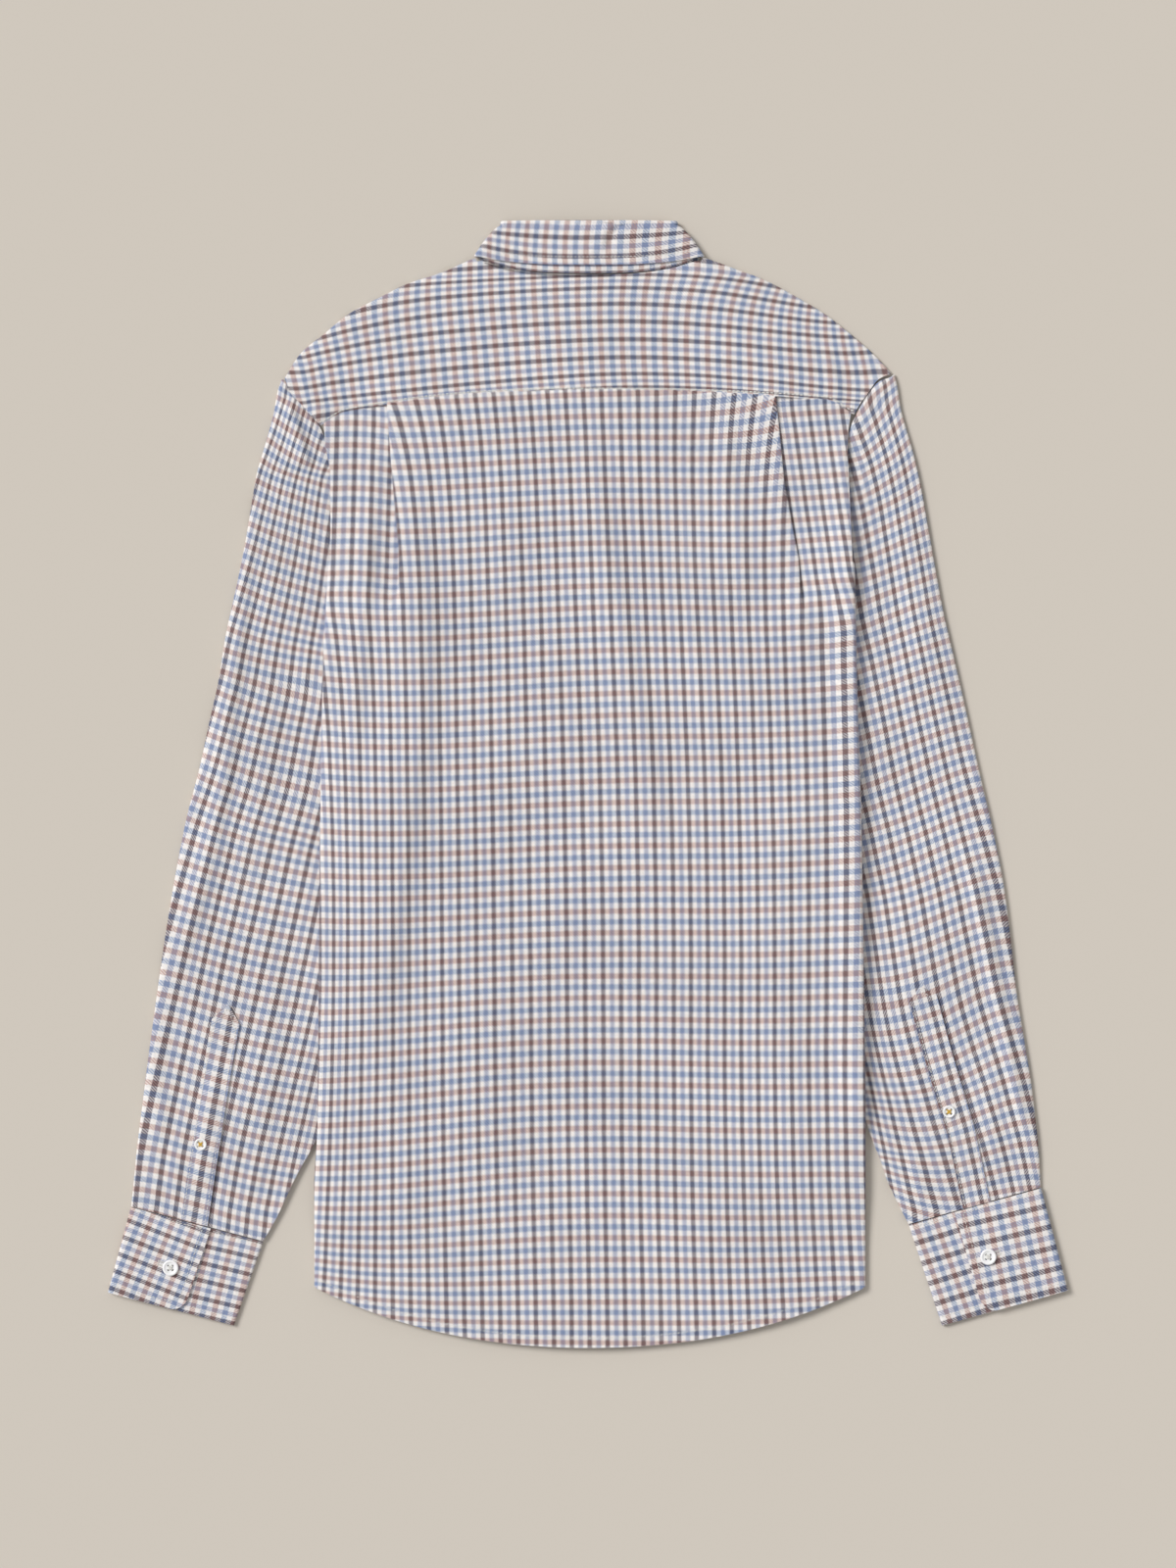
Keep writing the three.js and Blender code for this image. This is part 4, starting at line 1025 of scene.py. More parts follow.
@dataclass
class Yoke:
    """The yoke: back seam, shoulders folded over and 32 to 52 mm down the front."""

    neck_left: float = -79.5
    neck_right: float = 81.0
    end_left: float = -216.0
    end_right: float = 215.6
    arm_from: float = 150.0
    neck_from: float = 110.0
    neck_to: float = 80.4
    upper_rows: int = 30
    fold_rows: int = 8
    under_steps: int = 8

    def neck_back(self, x: Array) -> Array:
        """Returns the y of the neck seam across the back."""
        share = np.minimum(1.0, np.abs(x - NECK_SHIFT) / SIZES.neck_side) ** 3
        return mix(SIZES.neck_mid_y, SIZES.neck_side_y, share)

    def under_x(self, x: float, y: float) -> float:
        """Narrows the under side to the neck and the armhole.

        Args:
            x: Place across at the shoulder.
            y: Place along.

        Returns:
            The narrowed place across.
        """
        ax = abs(x)
        sign = math.copysign(1.0, x)
        if ax > self.arm_from:
            side = Side.LEFT if x < 0 else Side.RIGHT
            arm = abs(float(column(ARMHOLE[side], 1, 0, y))) - 1.0
            return sign * mix(self.arm_from, arm, (ax - self.arm_from) / 66.0)
        if ax < self.neck_from:
            lift = np.clip((y - SIZES.front_neck) / (SIZES.neck_side_y - SIZES.front_neck), 0.0, 1.0)
            inside = SIZES.neck_side * lift ** (1.0 / 1.6) + 1.8 + 1.8 * float(smooth(345.0, 372.0, y))
            share = (self.neck_from - ax) / (self.neck_from - self.neck_to)
            return sign * mix(self.neck_from, inside, share)
        return x

    def column_points(self, x: float) -> Array:
        """Lays out one column from the back seam over the shoulder.

        Args:
            x: Place across at the shoulder.

        Returns:
            The column's points.
        """
        u = (x + 216.0) / 431.6
        in_neck = self.neck_left < x < self.neck_right
        bottom_x = mix(-191.0, 190.0, u)
        bottom_y = float(BODY.seam(bottom_x))
        top_y = float(self.neck_back(x)) - 1.2 if in_neck else float(BODY.shoulder(x))
        z_top = 4.6 if in_neck else mix(4.4, 2.6, float(smooth(84.0, 140.0, abs(x))))
        seam_z = mix(5.4, 3.1, float(smooth(132.0, 160.0, abs(bottom_x))))
        low = SIZES.floor + float(BODY.leaf_bump(np.array(x), np.array(top_y - 12.0)))
        r = (z_top - low) / 2.0
        vs = np.linspace(0.0, 1.0, self.upper_rows)
        xs, ys = mix(bottom_x, x, vs), mix(bottom_y, top_y, vs)
        for side, w in ((Side.LEFT, 1.0 - u), (Side.RIGHT, u)):
            arm = soften(ARMHOLE[side], self.upper_rows)
            k = w ** 8
            xs = xs + (arm[:, 0] - mix(arm[0, 0], arm[-1, 0], vs)) * k
            ys = ys + (arm[:, 1] - mix(arm[0, 1], arm[-1, 1], vs)) * k
        zs = mix(seam_z, z_top, smooth(0.0, 0.9, vs)) - 0.3 * (1.0 - smooth(0.0, 0.06, vs))
        ys = ys - 0.5 * (1.0 - smooth(0.0, 0.2, vs))
        if not in_neck:
            ys = ys - (r + SIZES.cloth / 2.0) * vs ** 6
        fold = 0.04 if in_neck else math.pi
        a = np.linspace(0.0, fold, self.fold_rows + 1)[1:]
        base_y = ys[-1]
        fy = base_y + r * np.sin(a)
        fz = zs[-1] - r * (1.0 - np.cos(a))
        if in_neck:
            t = np.linspace(0.0, 1.0, self.under_steps + 1)[1:]
            ux, uy, uz = np.full(t.shape, x), fy[-1] + 0.3 * t, np.full(t.shape, fz[-1])
        else:
            low_x = self.under_x(x, 264.0 if abs(x) > self.arm_from else 344.0)
            stop = float(BODY.front_seam(np.array(low_x)))
            uy = mix(base_y, stop, np.linspace(0.0, 1.0, self.under_steps + 1)[1:])
            ux = np.array([self.under_x(x, float(q)) for q in uy])
            ux[-1] = low_x
            uz = SIZES.floor + BODY.leaf_bump(ux, uy)
        return np.stack([np.concatenate([xs, np.full(self.fold_rows, x), ux]), np.concatenate([ys, fy, uy]),
                         np.concatenate([zs, fz, uz])], -1)

    def panel(self) -> Panel:
        """Makes the yoke's grid.

        Returns:
            The panel.
        """
        xs = np.concatenate([np.linspace(self.end_left, -84.0, 42), [-80.6, -79.0],
                             np.linspace(-76.0, 77.0, 46),
                             [80.4, 82.0], np.linspace(86.0, self.end_right, 42)])
        grid = np.stack([self.column_points(float(x)) for x in xs], axis=1)
        x, y = grid[..., 0], grid[..., 1]
        rows = np.arange(grid.shape[0])[:, None]
        upper = (rows < self.upper_rows) * 1.0
        last = self.upper_rows - 1
        lift = raised(x, y, (0.35, 4.2, 0.2), YOKE_CREASES)
        seam_pull = Pucker(0.14, 0.68, 1.0, 0.13, 8.0).lift(x, y - BODY.seam(x))
        neck_pull = Pucker(0.3, 0.5, 1.0, 0.2, 9.0).lift(x, y - 366.0)
        fade = smooth(0.0, 3.0, rows) * (1.0 - smooth(24.0, last, rows)) * upper
        grid[..., 2] += (np.clip(lift, -0.4, 2.4) + seam_pull + neck_pull * 0.5) * fade + 0.35 * fade
        run = np.cumsum(np.linalg.norm(np.diff(grid, axis=0, prepend=grid[:1]), axis=2), axis=0)
        lies = GRAIN["yoke"]
        near = np.clip(x, -203.0, 203.0)
        warp = y - 276.0 + lies.warp_at(near, y)
        weft = x + lies.weft_at(near, y)
        hidden = rows > last
        warp = np.where(hidden, warp[last] + run - run[last], warp)
        weft = np.where(hidden, weft[last] + x - x[last], weft)
        return Panel.of("yoke", grid, warp, weft, (0.47, 0.155), area=0.046, grain=Grain.CROSSWISE)


COLLAR_CREASES = (
    Crease(((27, 404), (17, 391), (15, 378)), 2.6, -1.6),
    Crease(((20, 404), (10, 392), (9, 380)), 4.0, 1.5),
    Crease(((-44, 404), (-42, 389)), 3.0, -0.3),
)
SLEEVE_CREASES = {
    Side.LEFT: (
        Crease(((-215, 276), (-207, 250), (-199, 222)), 7.0, 3.8, -0.4),
        Crease(((-222, 250), (-214, 200), (-212, 150)), 7.0, 1.0),
        Crease(((-240, 205), (-247, 140), (-256, 61), (-262, -33), (-279, -95), (-303, -152)), 9.0, 3.2,
               -0.3),
        Crease(((-214, 60), (-226, -30), (-236, -110)), 9.0, -0.9),
        Crease(((-226, -100), (-224, -180), (-232, -250)), 9.0, 1.0),
        Crease(((-305, -150), (-309, -200), (-306, -262)), 6.5, 1.9),
        Crease(((-266, -205), (-271, -240), (-275, -292)), 5.0, 2.2),
        Crease(((-306, -282), (-305.5, -296)), 2.6, 1.2),
        Crease(((-240, -296), (-236, -280), (-228, -262)), 4.0, 1.0),
        Crease(((-292, -250), (-296, -280), (-298, -300)), 5.0, 0.7),
    ),
    Side.RIGHT: (
        Crease(((214, 262), (222, 200), (232, 130), (244, 60)), 8.0, 1.0),
        Crease(((230, 200), (238, 140), (250, 70), (262, 0)), 9.0, 0.9),
        Crease(((212, 120), (224, 40), (236, -40)), 9.0, -0.8),
        Crease(((268, -35), (275, -68), (283, -107), (292, -154), (302, -201), (310, -240), (318, -270)),
               5.0, 3.6, 0.3),
        Crease(((296, -150), (305, -190), (312, -230), (318, -262)), 4.5, -1.0),
        Crease(((222, -60), (228, -140), (232, -220)), 9.0, 1.0),
        Crease(((290, -190), (288, -240), (292, -290)), 6.0, 0.9),
        Crease(((238, -300), (236, -284), (228, -262)), 4.0, 1.0),
    ),
}


@dataclass
class Sleeve:
    """A sleeve: a flattened tube from the upper inner edge round the outer fold and back."""

    side: Side
    row_count: int = 150
    top_cols: int = 52
    fold_cols: int = 10

    def top_height(self, x: Array, y: Array) -> Array:
        """Works out the height of the sleeve's upper layer.

        Args:
            x: Places across.
            y: Places along.

        Returns:
            The heights of its middle.
        """
        edge = np.abs(BODY.edge(self.side, np.clip(y, SIZES.hem_side, ARMHOLE_FOOT)))
        free = smooth(22.0, 44.0, np.abs(x) - edge)
        head = smooth(178.0, 212.0, y)
        low = smooth(-292.0, -262.0, y)
        open_share = np.maximum(free, 1.0 - smooth(-300.0, -252.0, y))
        return SIZES.floor + SIZES.pitch + np.maximum(1.3 * head, 1.5 * open_share * mix(0.4, 1.0, low))

    def panel(self) -> Panel:
        """Makes the sleeve's grid.

        Returns:
            The panel.
        """
        table = SLEEVE_ROWS[self.side]
        share = np.linspace(0.0, 1.0, self.row_count)
        dense = np.stack([np.interp(share, np.linspace(0, 1, len(table)), table[:, k]) for k in range(4)], -1)
        even_out(dense, 4)
        outer, inner = dense[:, :2], dense[:, 2:]
        width = np.linalg.norm(outer - inner, axis=1)
        e = (outer - inner) / width[:, None]
        z_outer = self.top_height(outer[:, 0], outer[:, 1])
        r = np.minimum((z_outer - SIZES.floor) / 2.0, width * 0.3)
        run = width - r - SIZES.cloth / 2.0
        flat = np.linspace(0.0, 1.0, self.top_cols)
        top_x = inner[:, :1] + e[:, :1] * run[:, None] * flat
        top_y = inner[:, 1:] + e[:, 1:] * run[:, None] * flat
        base = self.top_height(top_x, top_y)
        end = (SIZES.floor + 2.0 * r)[:, None]
        top_z = mix(base, end, smooth(0.55, 1.0, flat)[None, :])
        bend = np.linspace(0.0, math.pi, self.fold_cols + 1)[1:]
        fold_x = inner[:, :1] + e[:, :1] * (run[:, None] + r[:, None] * np.sin(bend))
        fold_y = inner[:, 1:] + e[:, 1:] * (run[:, None] + r[:, None] * np.sin(bend))
        fold_z = SIZES.floor + r[:, None] * (1.0 + np.cos(bend))
        under = np.linspace(1.0, 0.0, 26)[1:]
        low_x = inner[:, :1] + e[:, :1] * run[:, None] * under
        low_y = inner[:, 1:] + e[:, 1:] * run[:, None] * under
        low_z = np.full(low_x.shape, SIZES.floor)
        grid = np.stack([np.hstack([top_x, fold_x, low_x]), np.hstack([top_y, fold_y, low_y]),
                         np.hstack([top_z, fold_z, low_z])], -1)
        self.relief(grid)
        head = smooth(150.0, 205.0, grid[:, 0, 1])
        for col, reach, drop in ((0, 3.2, 1.3), (1, 1.6, 0.5)):
            grid[:, col, :2] -= e * (reach * head)[:, None]
            grid[:, col, 2] -= drop * head
        warp, weft = self.cloth(grid, outer)
        lies = GRAIN[self.side.piece("sleeve")]
        edge = np.abs(BODY.edge(self.side, np.clip(grid[..., 1], SIZES.hem_side, ARMHOLE_FOOT))) + 2.0
        beside = np.where(grid[..., 1] < ARMHOLE_FOOT, np.maximum(np.abs(grid[..., 0]), edge),
                          np.abs(grid[..., 0]))
        beside = beside * float(self.side.value)
        along_y = np.clip(grid[..., 1], -305.0, 275.0)
        warp = warp + lies.warp_at(beside, along_y)
        weft = weft + lies.weft_at(beside, along_y)
        return Panel.of(self.side.piece("sleeve"), grid, warp, weft, (0.40, 0.62), area=0.14)

    def relief(self, grid: Array) -> None:
        """Adds creases and slow waves to the upper layer where it shows.

        Args:
            grid: The sleeve's points, changed in place.
        """
        x, y = grid[..., 0], grid[..., 1]
        cols = np.arange(grid.shape[1])[None, :]
        edge = np.abs(BODY.edge(self.side, np.clip(y, SIZES.hem_side, ARMHOLE_FOOT)))
        shown = np.maximum(smooth(3.0, 14.0, np.abs(x) - edge), 1.0 - smooth(-262.0, -240.0, y))
        shown = np.maximum(shown, smooth(236.0, 262.0, y))
        near_fold = smooth(self.top_cols - 6.0, self.top_cols, cols)
        upper = np.where(cols < self.top_cols, 1.0, 0.0) * (1.0 - near_fold * 0.6)
        ends = smooth(0.0, 6.0, np.arange(grid.shape[0])[:, None])
        lift = raised(x, y, (0.55, 2.6 + self.side.value, 0.3), SLEEVE_CREASES[self.side])
        gather = Pucker(0.35, 0.62, 1.5, 0.12, 12.0).lift(x, y - Cuff(self.side).top_y(x))
        grid[..., 2] += (np.clip(lift, -0.5, 4.2) + gather) * shown * upper * ends

    def cloth(self, grid: Array, outer: Array) -> tuple[Array, Array]:
        """Works out the cloth's coordinates, whose warp follows the outer fold.

        Args:
            grid: The sleeve's points.
            outer: The outer fold's points, one for each row.

        Returns:
            Warp and weft coordinates.
        """
        step = np.gradient(outer, axis=0)
        tangent = step / np.maximum(np.linalg.norm(step, axis=1, keepdims=True), 1e-9)
        run = run_along(outer)
        dx = grid[..., 0] - outer[:, :1]
        dy = grid[..., 1] - outer[:, 1:]
        cross = np.abs(dx * tangent[:, 1:] - dy * tangent[:, :1])
        ahead = dx * tangent[:, :1] + dy * tangent[:, 1:]
        sign = np.where(np.arange(grid.shape[1]) < self.top_cols + self.fold_cols // 2, 1.0, -1.0)
        return cross * sign * 0.925, -(run[:, None] + ahead)


@dataclass
class Gauntlet:
    """The strip that finishes a sleeve's slit, with its pointed top."""

    side: Side
    slit: Array = field(default_factory=lambda: np.zeros((1, 2)))
    width: float = 20.0
    tip: float = 12.0

    def __post_init__(self) -> None:
        """Takes the slit's line for the side."""
        if self.side is Side.LEFT:
            points = [(-248.5, -171), (-254, -202), (-260, -240), (-265.5, -275), (-271.5, -315.4)]
        else:
            points = [(248.5, -150), (258, -186), (267.5, -219), (275.5, -245), (287.5, -300.6)]
            self.tip = 9.0
        self.slit = soften(np.array(points, float), 60)

    def ways(self) -> tuple[Array, Array]:
        """Finds the unit directions along and across the strip.

        Returns:
            Both directions at each point of the slit.
        """
        step = np.gradient(self.slit, axis=0)
        d = step / np.linalg.norm(step, axis=1, keepdims=True)
        return d, np.stack([d[:, 1], -d[:, 0]], -1)

    def panel(self) -> Panel:
        """Makes the gauntlet's grid, laid on the sleeve.

        Returns:
            The panel.
        """
        d, across = self.ways()
        w = np.linspace(0.0, 1.0, 13)
        point = np.zeros((len(self.slit), 1))
        point[:4, 0] = self.tip * np.array([1.0, 0.72, 0.44, 0.2])
        rise = point * (1.0 - np.abs(w - 0.5) * 2.0)[None, :]
        x = self.slit[:, :1] + across[:, :1] * self.width * w - d[:, :1] * rise
        y = self.slit[:, 1:] + across[:, 1:] * self.width * w - d[:, 1:] * rise
        y = np.maximum(y, Cuff(self.side).top_y(x) + 0.6)
        sleeve = Sleeve(self.side)
        z = sleeve.top_height(x, y) + SIZES.pitch + 0.25
        lift = raised(x, y, (0.5, 2.6 + self.side.value, 0.3), SLEEVE_CREASES[self.side])
        ends = 1.0 - smooth(50.0, 59.0, np.arange(60.0))[:, None]
        z = z + np.clip(lift, 0.0, 1.4) * ends
        grid = np.stack([x, y, z], -1)
        warp = np.broadcast_to(self.width * w, x.shape)
        run = run_along(self.slit)
        weft = np.broadcast_to(-run[:, None], x.shape) + rise
        node = self.side.piece("gauntlet")
        lies = GRAIN[node]
        warp = warp + lies.warp_at(x, y)
        weft = weft + lies.weft_at(x, y)
        return Panel.of(node, grid, warp, weft, (0.020, 0.162), held="laid")


@dataclass
class Cuff:
    """A cuff: a flattened ring whose overlap, with a rounded corner, lies on top."""

    side: Side
    underlap: float = 27.0
    corner: float = 11.0
    height: float = 65.0
    lap_cols: int = 21
    ring_cols: int = 61

    @property
    def out_top(self) -> Array:
        """Outer corner at the sleeve."""
        return np.array([-326.2, -301.9] if self.side is Side.LEFT else [323.4, -288.3])

    @property
    def in_top(self) -> Array:
        """Inner corner at the sleeve."""
        return np.array([-231.8, -326.9] if self.side is Side.LEFT else [228.9, -314.6])

    @property
    def out_low(self) -> Array:
        """Outer corner at the free edge."""
        return np.array([-342.6, -362.6] if self.side is Side.LEFT else [342.6, -361.0])

    @property
    def in_low(self) -> Array:
        """Inner corner at the free edge."""
        return np.array([-252.7, -386.4] if self.side is Side.LEFT else [252.7, -386.4])

    @property
    def lap(self) -> tuple[float, float]:
        """Shares of the width at which the overlap ends, at the sleeve and at the free edge."""
        return (0.605, 0.60) if self.side is Side.LEFT else (0.655, 0.67)

    def line(self, v: float) -> tuple[Array, Array, float]:
        """Finds the line across the cuff at one share of its height.

        Args:
            v: Share from the sleeve to the free edge.

        Returns:
            Its outer end, its direction inwards and its length.
        """
        out = mix(self.out_top, self.out_low, v)
        inward = mix(self.in_top, self.in_low, v) - out
        width = float(np.linalg.norm(inward))
        return out, inward / width, width

    def top_y(self, x: Array) -> Array:
        """Returns the y of the cuff seam at x."""
        a, b = self.in_top, self.out_top
        return mix(a[1], b[1], (x - a[0]) / (b[0] - a[0]))

    def panel(self) -> Panel:
        """Makes the cuff's grid.

        Returns:
            The panel.
        """
        low_z = SIZES.stiff / 2.0
        mid_z = low_z + SIZES.stiff + SIZES.gap
        top_z = mid_z + SIZES.stiff + SIZES.gap
        half = SIZES.stiff / 2.0
        rows = []
        runs = []
        steps = np.concatenate([np.linspace(0.0, 0.82, 14), 1.0 - np.geomspace(0.17, 0.003, 12), [1.0]])
        for v in steps:
            out, e, width = self.line(v)
            low = (1.0 - v) * self.height
            arc = self.corner
            if low < self.corner:
                arc = math.sqrt(max(0.0, self.corner ** 2 - (self.corner - low) ** 2))
            lap_line = mix(self.lap[0], self.lap[1], v) * width
            lap = lap_line - (self.corner - arc)
            r_out = (top_z - low_z) / 2.0
            r_in = (mid_z - low_z) / 2.0
            far = width - r_in - half
            a = np.linspace(0.0, math.pi, 11)
            t = np.linspace(1.0, 0.0, self.lap_cols + 1)[:-1]
            s = [mix(r_out + half, lap, t), r_out + half - r_out * np.sin(a)]
            z = [np.full(self.lap_cols, top_z), low_z + r_out * (1.0 + np.cos(a))]
            flat = np.linspace(0.0, 1.0, 18)[1:]
            s += [mix(r_out + half, far, flat), far + r_in * np.sin(a[1:])]
            z += [np.full(17, low_z), low_z + r_in * (1.0 - np.cos(a[1:]))]
            back = np.linspace(0.0, 1.0, self.lap_cols + 1)[1:]
            s += [mix(far, lap_line - self.underlap, back)]
            z += [np.full(self.lap_cols, mid_z)]
            path = np.concatenate(s)
            rise = np.concatenate(z)
            rows.append(np.stack([out[0] + e[0] * path, out[1] + e[1] * path, rise], -1))
            runs.append(path)
        grid = np.stack(rows)
        x, y = grid[..., 0], grid[..., 1]
        cols = np.arange(grid.shape[1])[None, :]
        upper = np.where((cols < self.lap_cols) | (cols >= self.ring_cols), 1.0, 0.0)
        ripple = swell(x * 1.8, y * 1.8, 0.16, 5.0) * upper * smooth(0.0, 4.0, cols)
        grid[..., 2] += ripple
        length = np.cumsum(np.linalg.norm(np.diff(grid, axis=1, prepend=grid[:, :1]), axis=2), axis=1)
        start = np.stack(runs)[:, :1]
        weft = -(start - length)
        warp = np.broadcast_to(-(steps * self.height)[:, None], weft.shape)
        node = self.side.piece("cuff")
        over, under = GRAIN[node], GRAIN[f"{node}_in"]
        share = smooth(33.0, 47.0, cols)
        warp = warp + mix(over.warp_at(x, y), under.warp_at(x, y), share)
        weft = weft + mix(over.weft_at(x, y), under.weft_at(x, y), share)
        return Panel.of(node, grid, warp, weft, (0.25, 0.066), grain=Grain.CROSSWISE, thickness=SIZES.stiff)


@dataclass
class Collar:
    """The collar: a stand, flattened into a ring, and the leaf folded over it."""

    stand_mid: float = 3.5
    stand_half: float = 1.1
    leaf_out: float = 1.6
    point: tuple[float, float] = (40.0, 257.0)

    def ring(self, offset: float) -> tuple[Array, Array, Array, Array]:
        """Lays out the ring from one front end round the back to the other.

        Args:
            offset: How far outside the stand's middle it lies.

        Returns:
            Side sign, share of the half width, outward step and height, and 1 on the back.
        """
        bend = 0.03
        turn = np.linspace(0.5 + bend, 0.5 - bend, 11)[1:-1]
        right = np.concatenate([np.linspace(0.0, 0.5 - bend, 40), turn[::-1],
                                np.linspace(0.5 + bend, 1.0, 34)])
        us = np.concatenate([-right[:0:-1], right])
        half = self.stand_half + offset
        a = np.abs(us)
        ang = np.clip((a - 0.5 + bend) / (2.0 * bend), 0.0, 1.0) * math.pi
        share = np.where(a < 0.5, np.minimum(1.0, a / (0.5 - bend)),
                         np.minimum(1.0, (1.0 - a) / (0.5 - bend)))
        back = np.clip(1.0 - (a - 0.5 + bend) / (2.0 * bend), 0.0, 1.0)
        placing = np.stack([np.where(us < 0, -1.0, 1.0), share, half * np.sin(ang),
                            self.stand_mid + half * np.cos(ang)], -1)
        return placing[:, 0], placing[:, 1], placing[:, 2:], back

    @staticmethod
    def height_line(share: Array, back: Array, ends: tuple[float, float, float]) -> Array:
        """Bends a row of the ring.

        Args:
            share: Share of the half width.
            back: 1 on the back, 0 at the front.
            ends: Places along at the middle of the back, at the sides and at the front.

        Returns:
            The y of each place.
        """
        rear = mix(ends[0], ends[1], share ** 3)
        front = mix(ends[2], ends[1], share ** 1.6)
        return np.where(back >= 1.0, rear, np.where(back <= 0.0, front, ends[1]))

    def stand(self) -> Panel:
        """Makes the collar stand's grid.

        Returns:
            The panel.
        """
        rows = []
        for v in np.linspace(0.0, 1.0, 14):
            sign, share, rise, back = self.ring(0.0)
            x = sign * (mix(np.where(back > 0.0, 0.0, 2.4), mix(SIZES.neck_side, 60.0, v), share) + rise[:,
                                                                                                         0])
            ends = (mix(SIZES.neck_mid_y, 396.6, v), mix(SIZES.neck_side_y, 396.2, v),
                    mix(SIZES.front_neck, SIZES.front_roll, v))
            rows.append(np.stack([x + NECK_SHIFT, self.height_line(share, back, ends), rise[:, 1]], -1))
        grid = np.stack(rows)
        warp = np.broadcast_to(np.linspace(0.0, 34.0, 14)[:, None], grid.shape[:2])
        return Panel.of("collar_stand", grid, warp, grid[..., 0], (0.42, 0.036), area=0.011,
                        grain=Grain.CROSSWISE)

    def leaf(self) -> Panel:
        """Makes the collar leaf's grid, from its rolled top to its free edge.

        Returns:
            The panel.
        """
        roll = [(0.8, 0.0, 3.6, 1.0), (0.8, 0.0, 3.45, 1.7), (0.8, 0.0, 3.1, 2.4), (0.8, 0.0, 2.5, 2.9),
                (0.8, 0.0, 1.6, 3.2), (0.8, 0.0, 0.2, 3.2)]
        fall = [(self.leaf_out, v, -0.2 * (1.0 - v), SIZES.stiff) for v in np.linspace(0.0, 1.0, 26)]
        table = roll + fall
        rows = []
        depth = []
        for off, v, up, _ in table:
            sign, share, rise, back = self.ring(off)
            wide = mix(60.0, LEAF_HALF, v ** 0.7)
            end_x = mix(2.4, self.point[0], v)
            x = sign * (mix(np.where(back > 0.0, 0.0, end_x), wide, share) + rise[:, 0])
            ends = (mix(398.4, LEAF_MID_Y, v), mix(397.9, LEAF_SIDE_Y, v),
                    mix(SIZES.front_roll + 1.6, self.point[1], v))
            y = self.height_line(share, back, ends) + up
            rows.append(np.stack([x + NECK_SHIFT, y, rise[:, 1]], -1))
            depth.append(up - 34.0 * v)
        grid = np.stack(rows)
        x, y = grid[..., 0], grid[..., 1]
        upper = np.where(grid[..., 2] > 5.6, 1.0, 0.0)
        lift = swell(x * 1.5, y * 1.5, 0.2, 0.4) + 0.1
        for crease in COLLAR_CREASES:
            lift += crease.lift(x, y)
        grid[..., 2] += np.clip(lift, -0.8, 1.6) * upper
        warp = np.broadcast_to(np.array(depth)[:, None], grid.shape[:2])
        weft = np.where(grid[..., 2] > self.stand_mid, x, x + 4.0 * np.sign(x))
        lies = GRAIN["collar"]
        low_y = np.maximum(y, 372.0)
        warp = warp + lies.warp_at(x, low_y)
        weft = weft + lies.weft_at(x, low_y)
        walls = np.array([row[3] for row in table])
        return Panel.of("collar_leaf", grid, warp, weft, (0.44, 0.085), area=0.018, grain=Grain.CROSSWISE,
                        thickness=walls)


@dataclass
class FrontBand:
    """A band down the middle of the front, lifted where it lies over a button."""

    name: str
    layer: int
    left: float
    right: float
    reach: float = 13.2

    def bulge(self, distance: Array) -> Array:
        """Returns 1 over a button and 0 away from it."""
        return 1.0 - smooth(6.55, self.reach, np.abs(distance))

    def panel(self) -> Panel:
        """Makes the band's grid.

        Returns:
            The panel.
        """
        xs = np.linspace(self.left, self.right, 19)
        ys = np.concatenate([np.arange(288.8, SIZES.hem_side, -3.0), [SIZES.hem_side]])
        x, y = np.meshgrid(xs, ys)
        y[-1] = BODY.hem(xs)
        y[-8:-1] += (BODY.hem(xs) - SIZES.hem_side)[None, :] * np.linspace(0.1, 0.9, 7)[:, None]
        over = np.max(np.stack([self.bulge(y - b) for b in FRONT_BUTTONS]), axis=0)
        z = SIZES.floor + self.layer * SIZES.pitch + BODY.leaf_bump(np.zeros(y.shape), y)
        z = z + 2.3 * self.bulge(x) * over
        grid = np.stack([x, y, z], -1)
        return Panel.of(self.name, grid, x, y, (0.033, 0.70), held="laid")


def new_piece(name: str, points: Array, faces: Array, nodes: tuple[str, ...] = ()) -> bpy.types.Object:
    """Makes a mesh object that rides on the shirt.

    Args:
        name: Name of the piece.
        points: Its points in millimetres.
        faces: Rows of point numbers.
        nodes: Nodes that it stands for.

    Returns:
        The new object.
    """
    mesh = bpy.data.meshes.new(name)
    mesh.from_pydata((np.asarray(points) * MM).tolist(), [], [list(map(int, face)) for face in faces])
    mesh.shade_smooth()
    item = link(name, mesh)
    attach(item, "root")
    if nodes:
        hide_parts(*nodes)
    return item


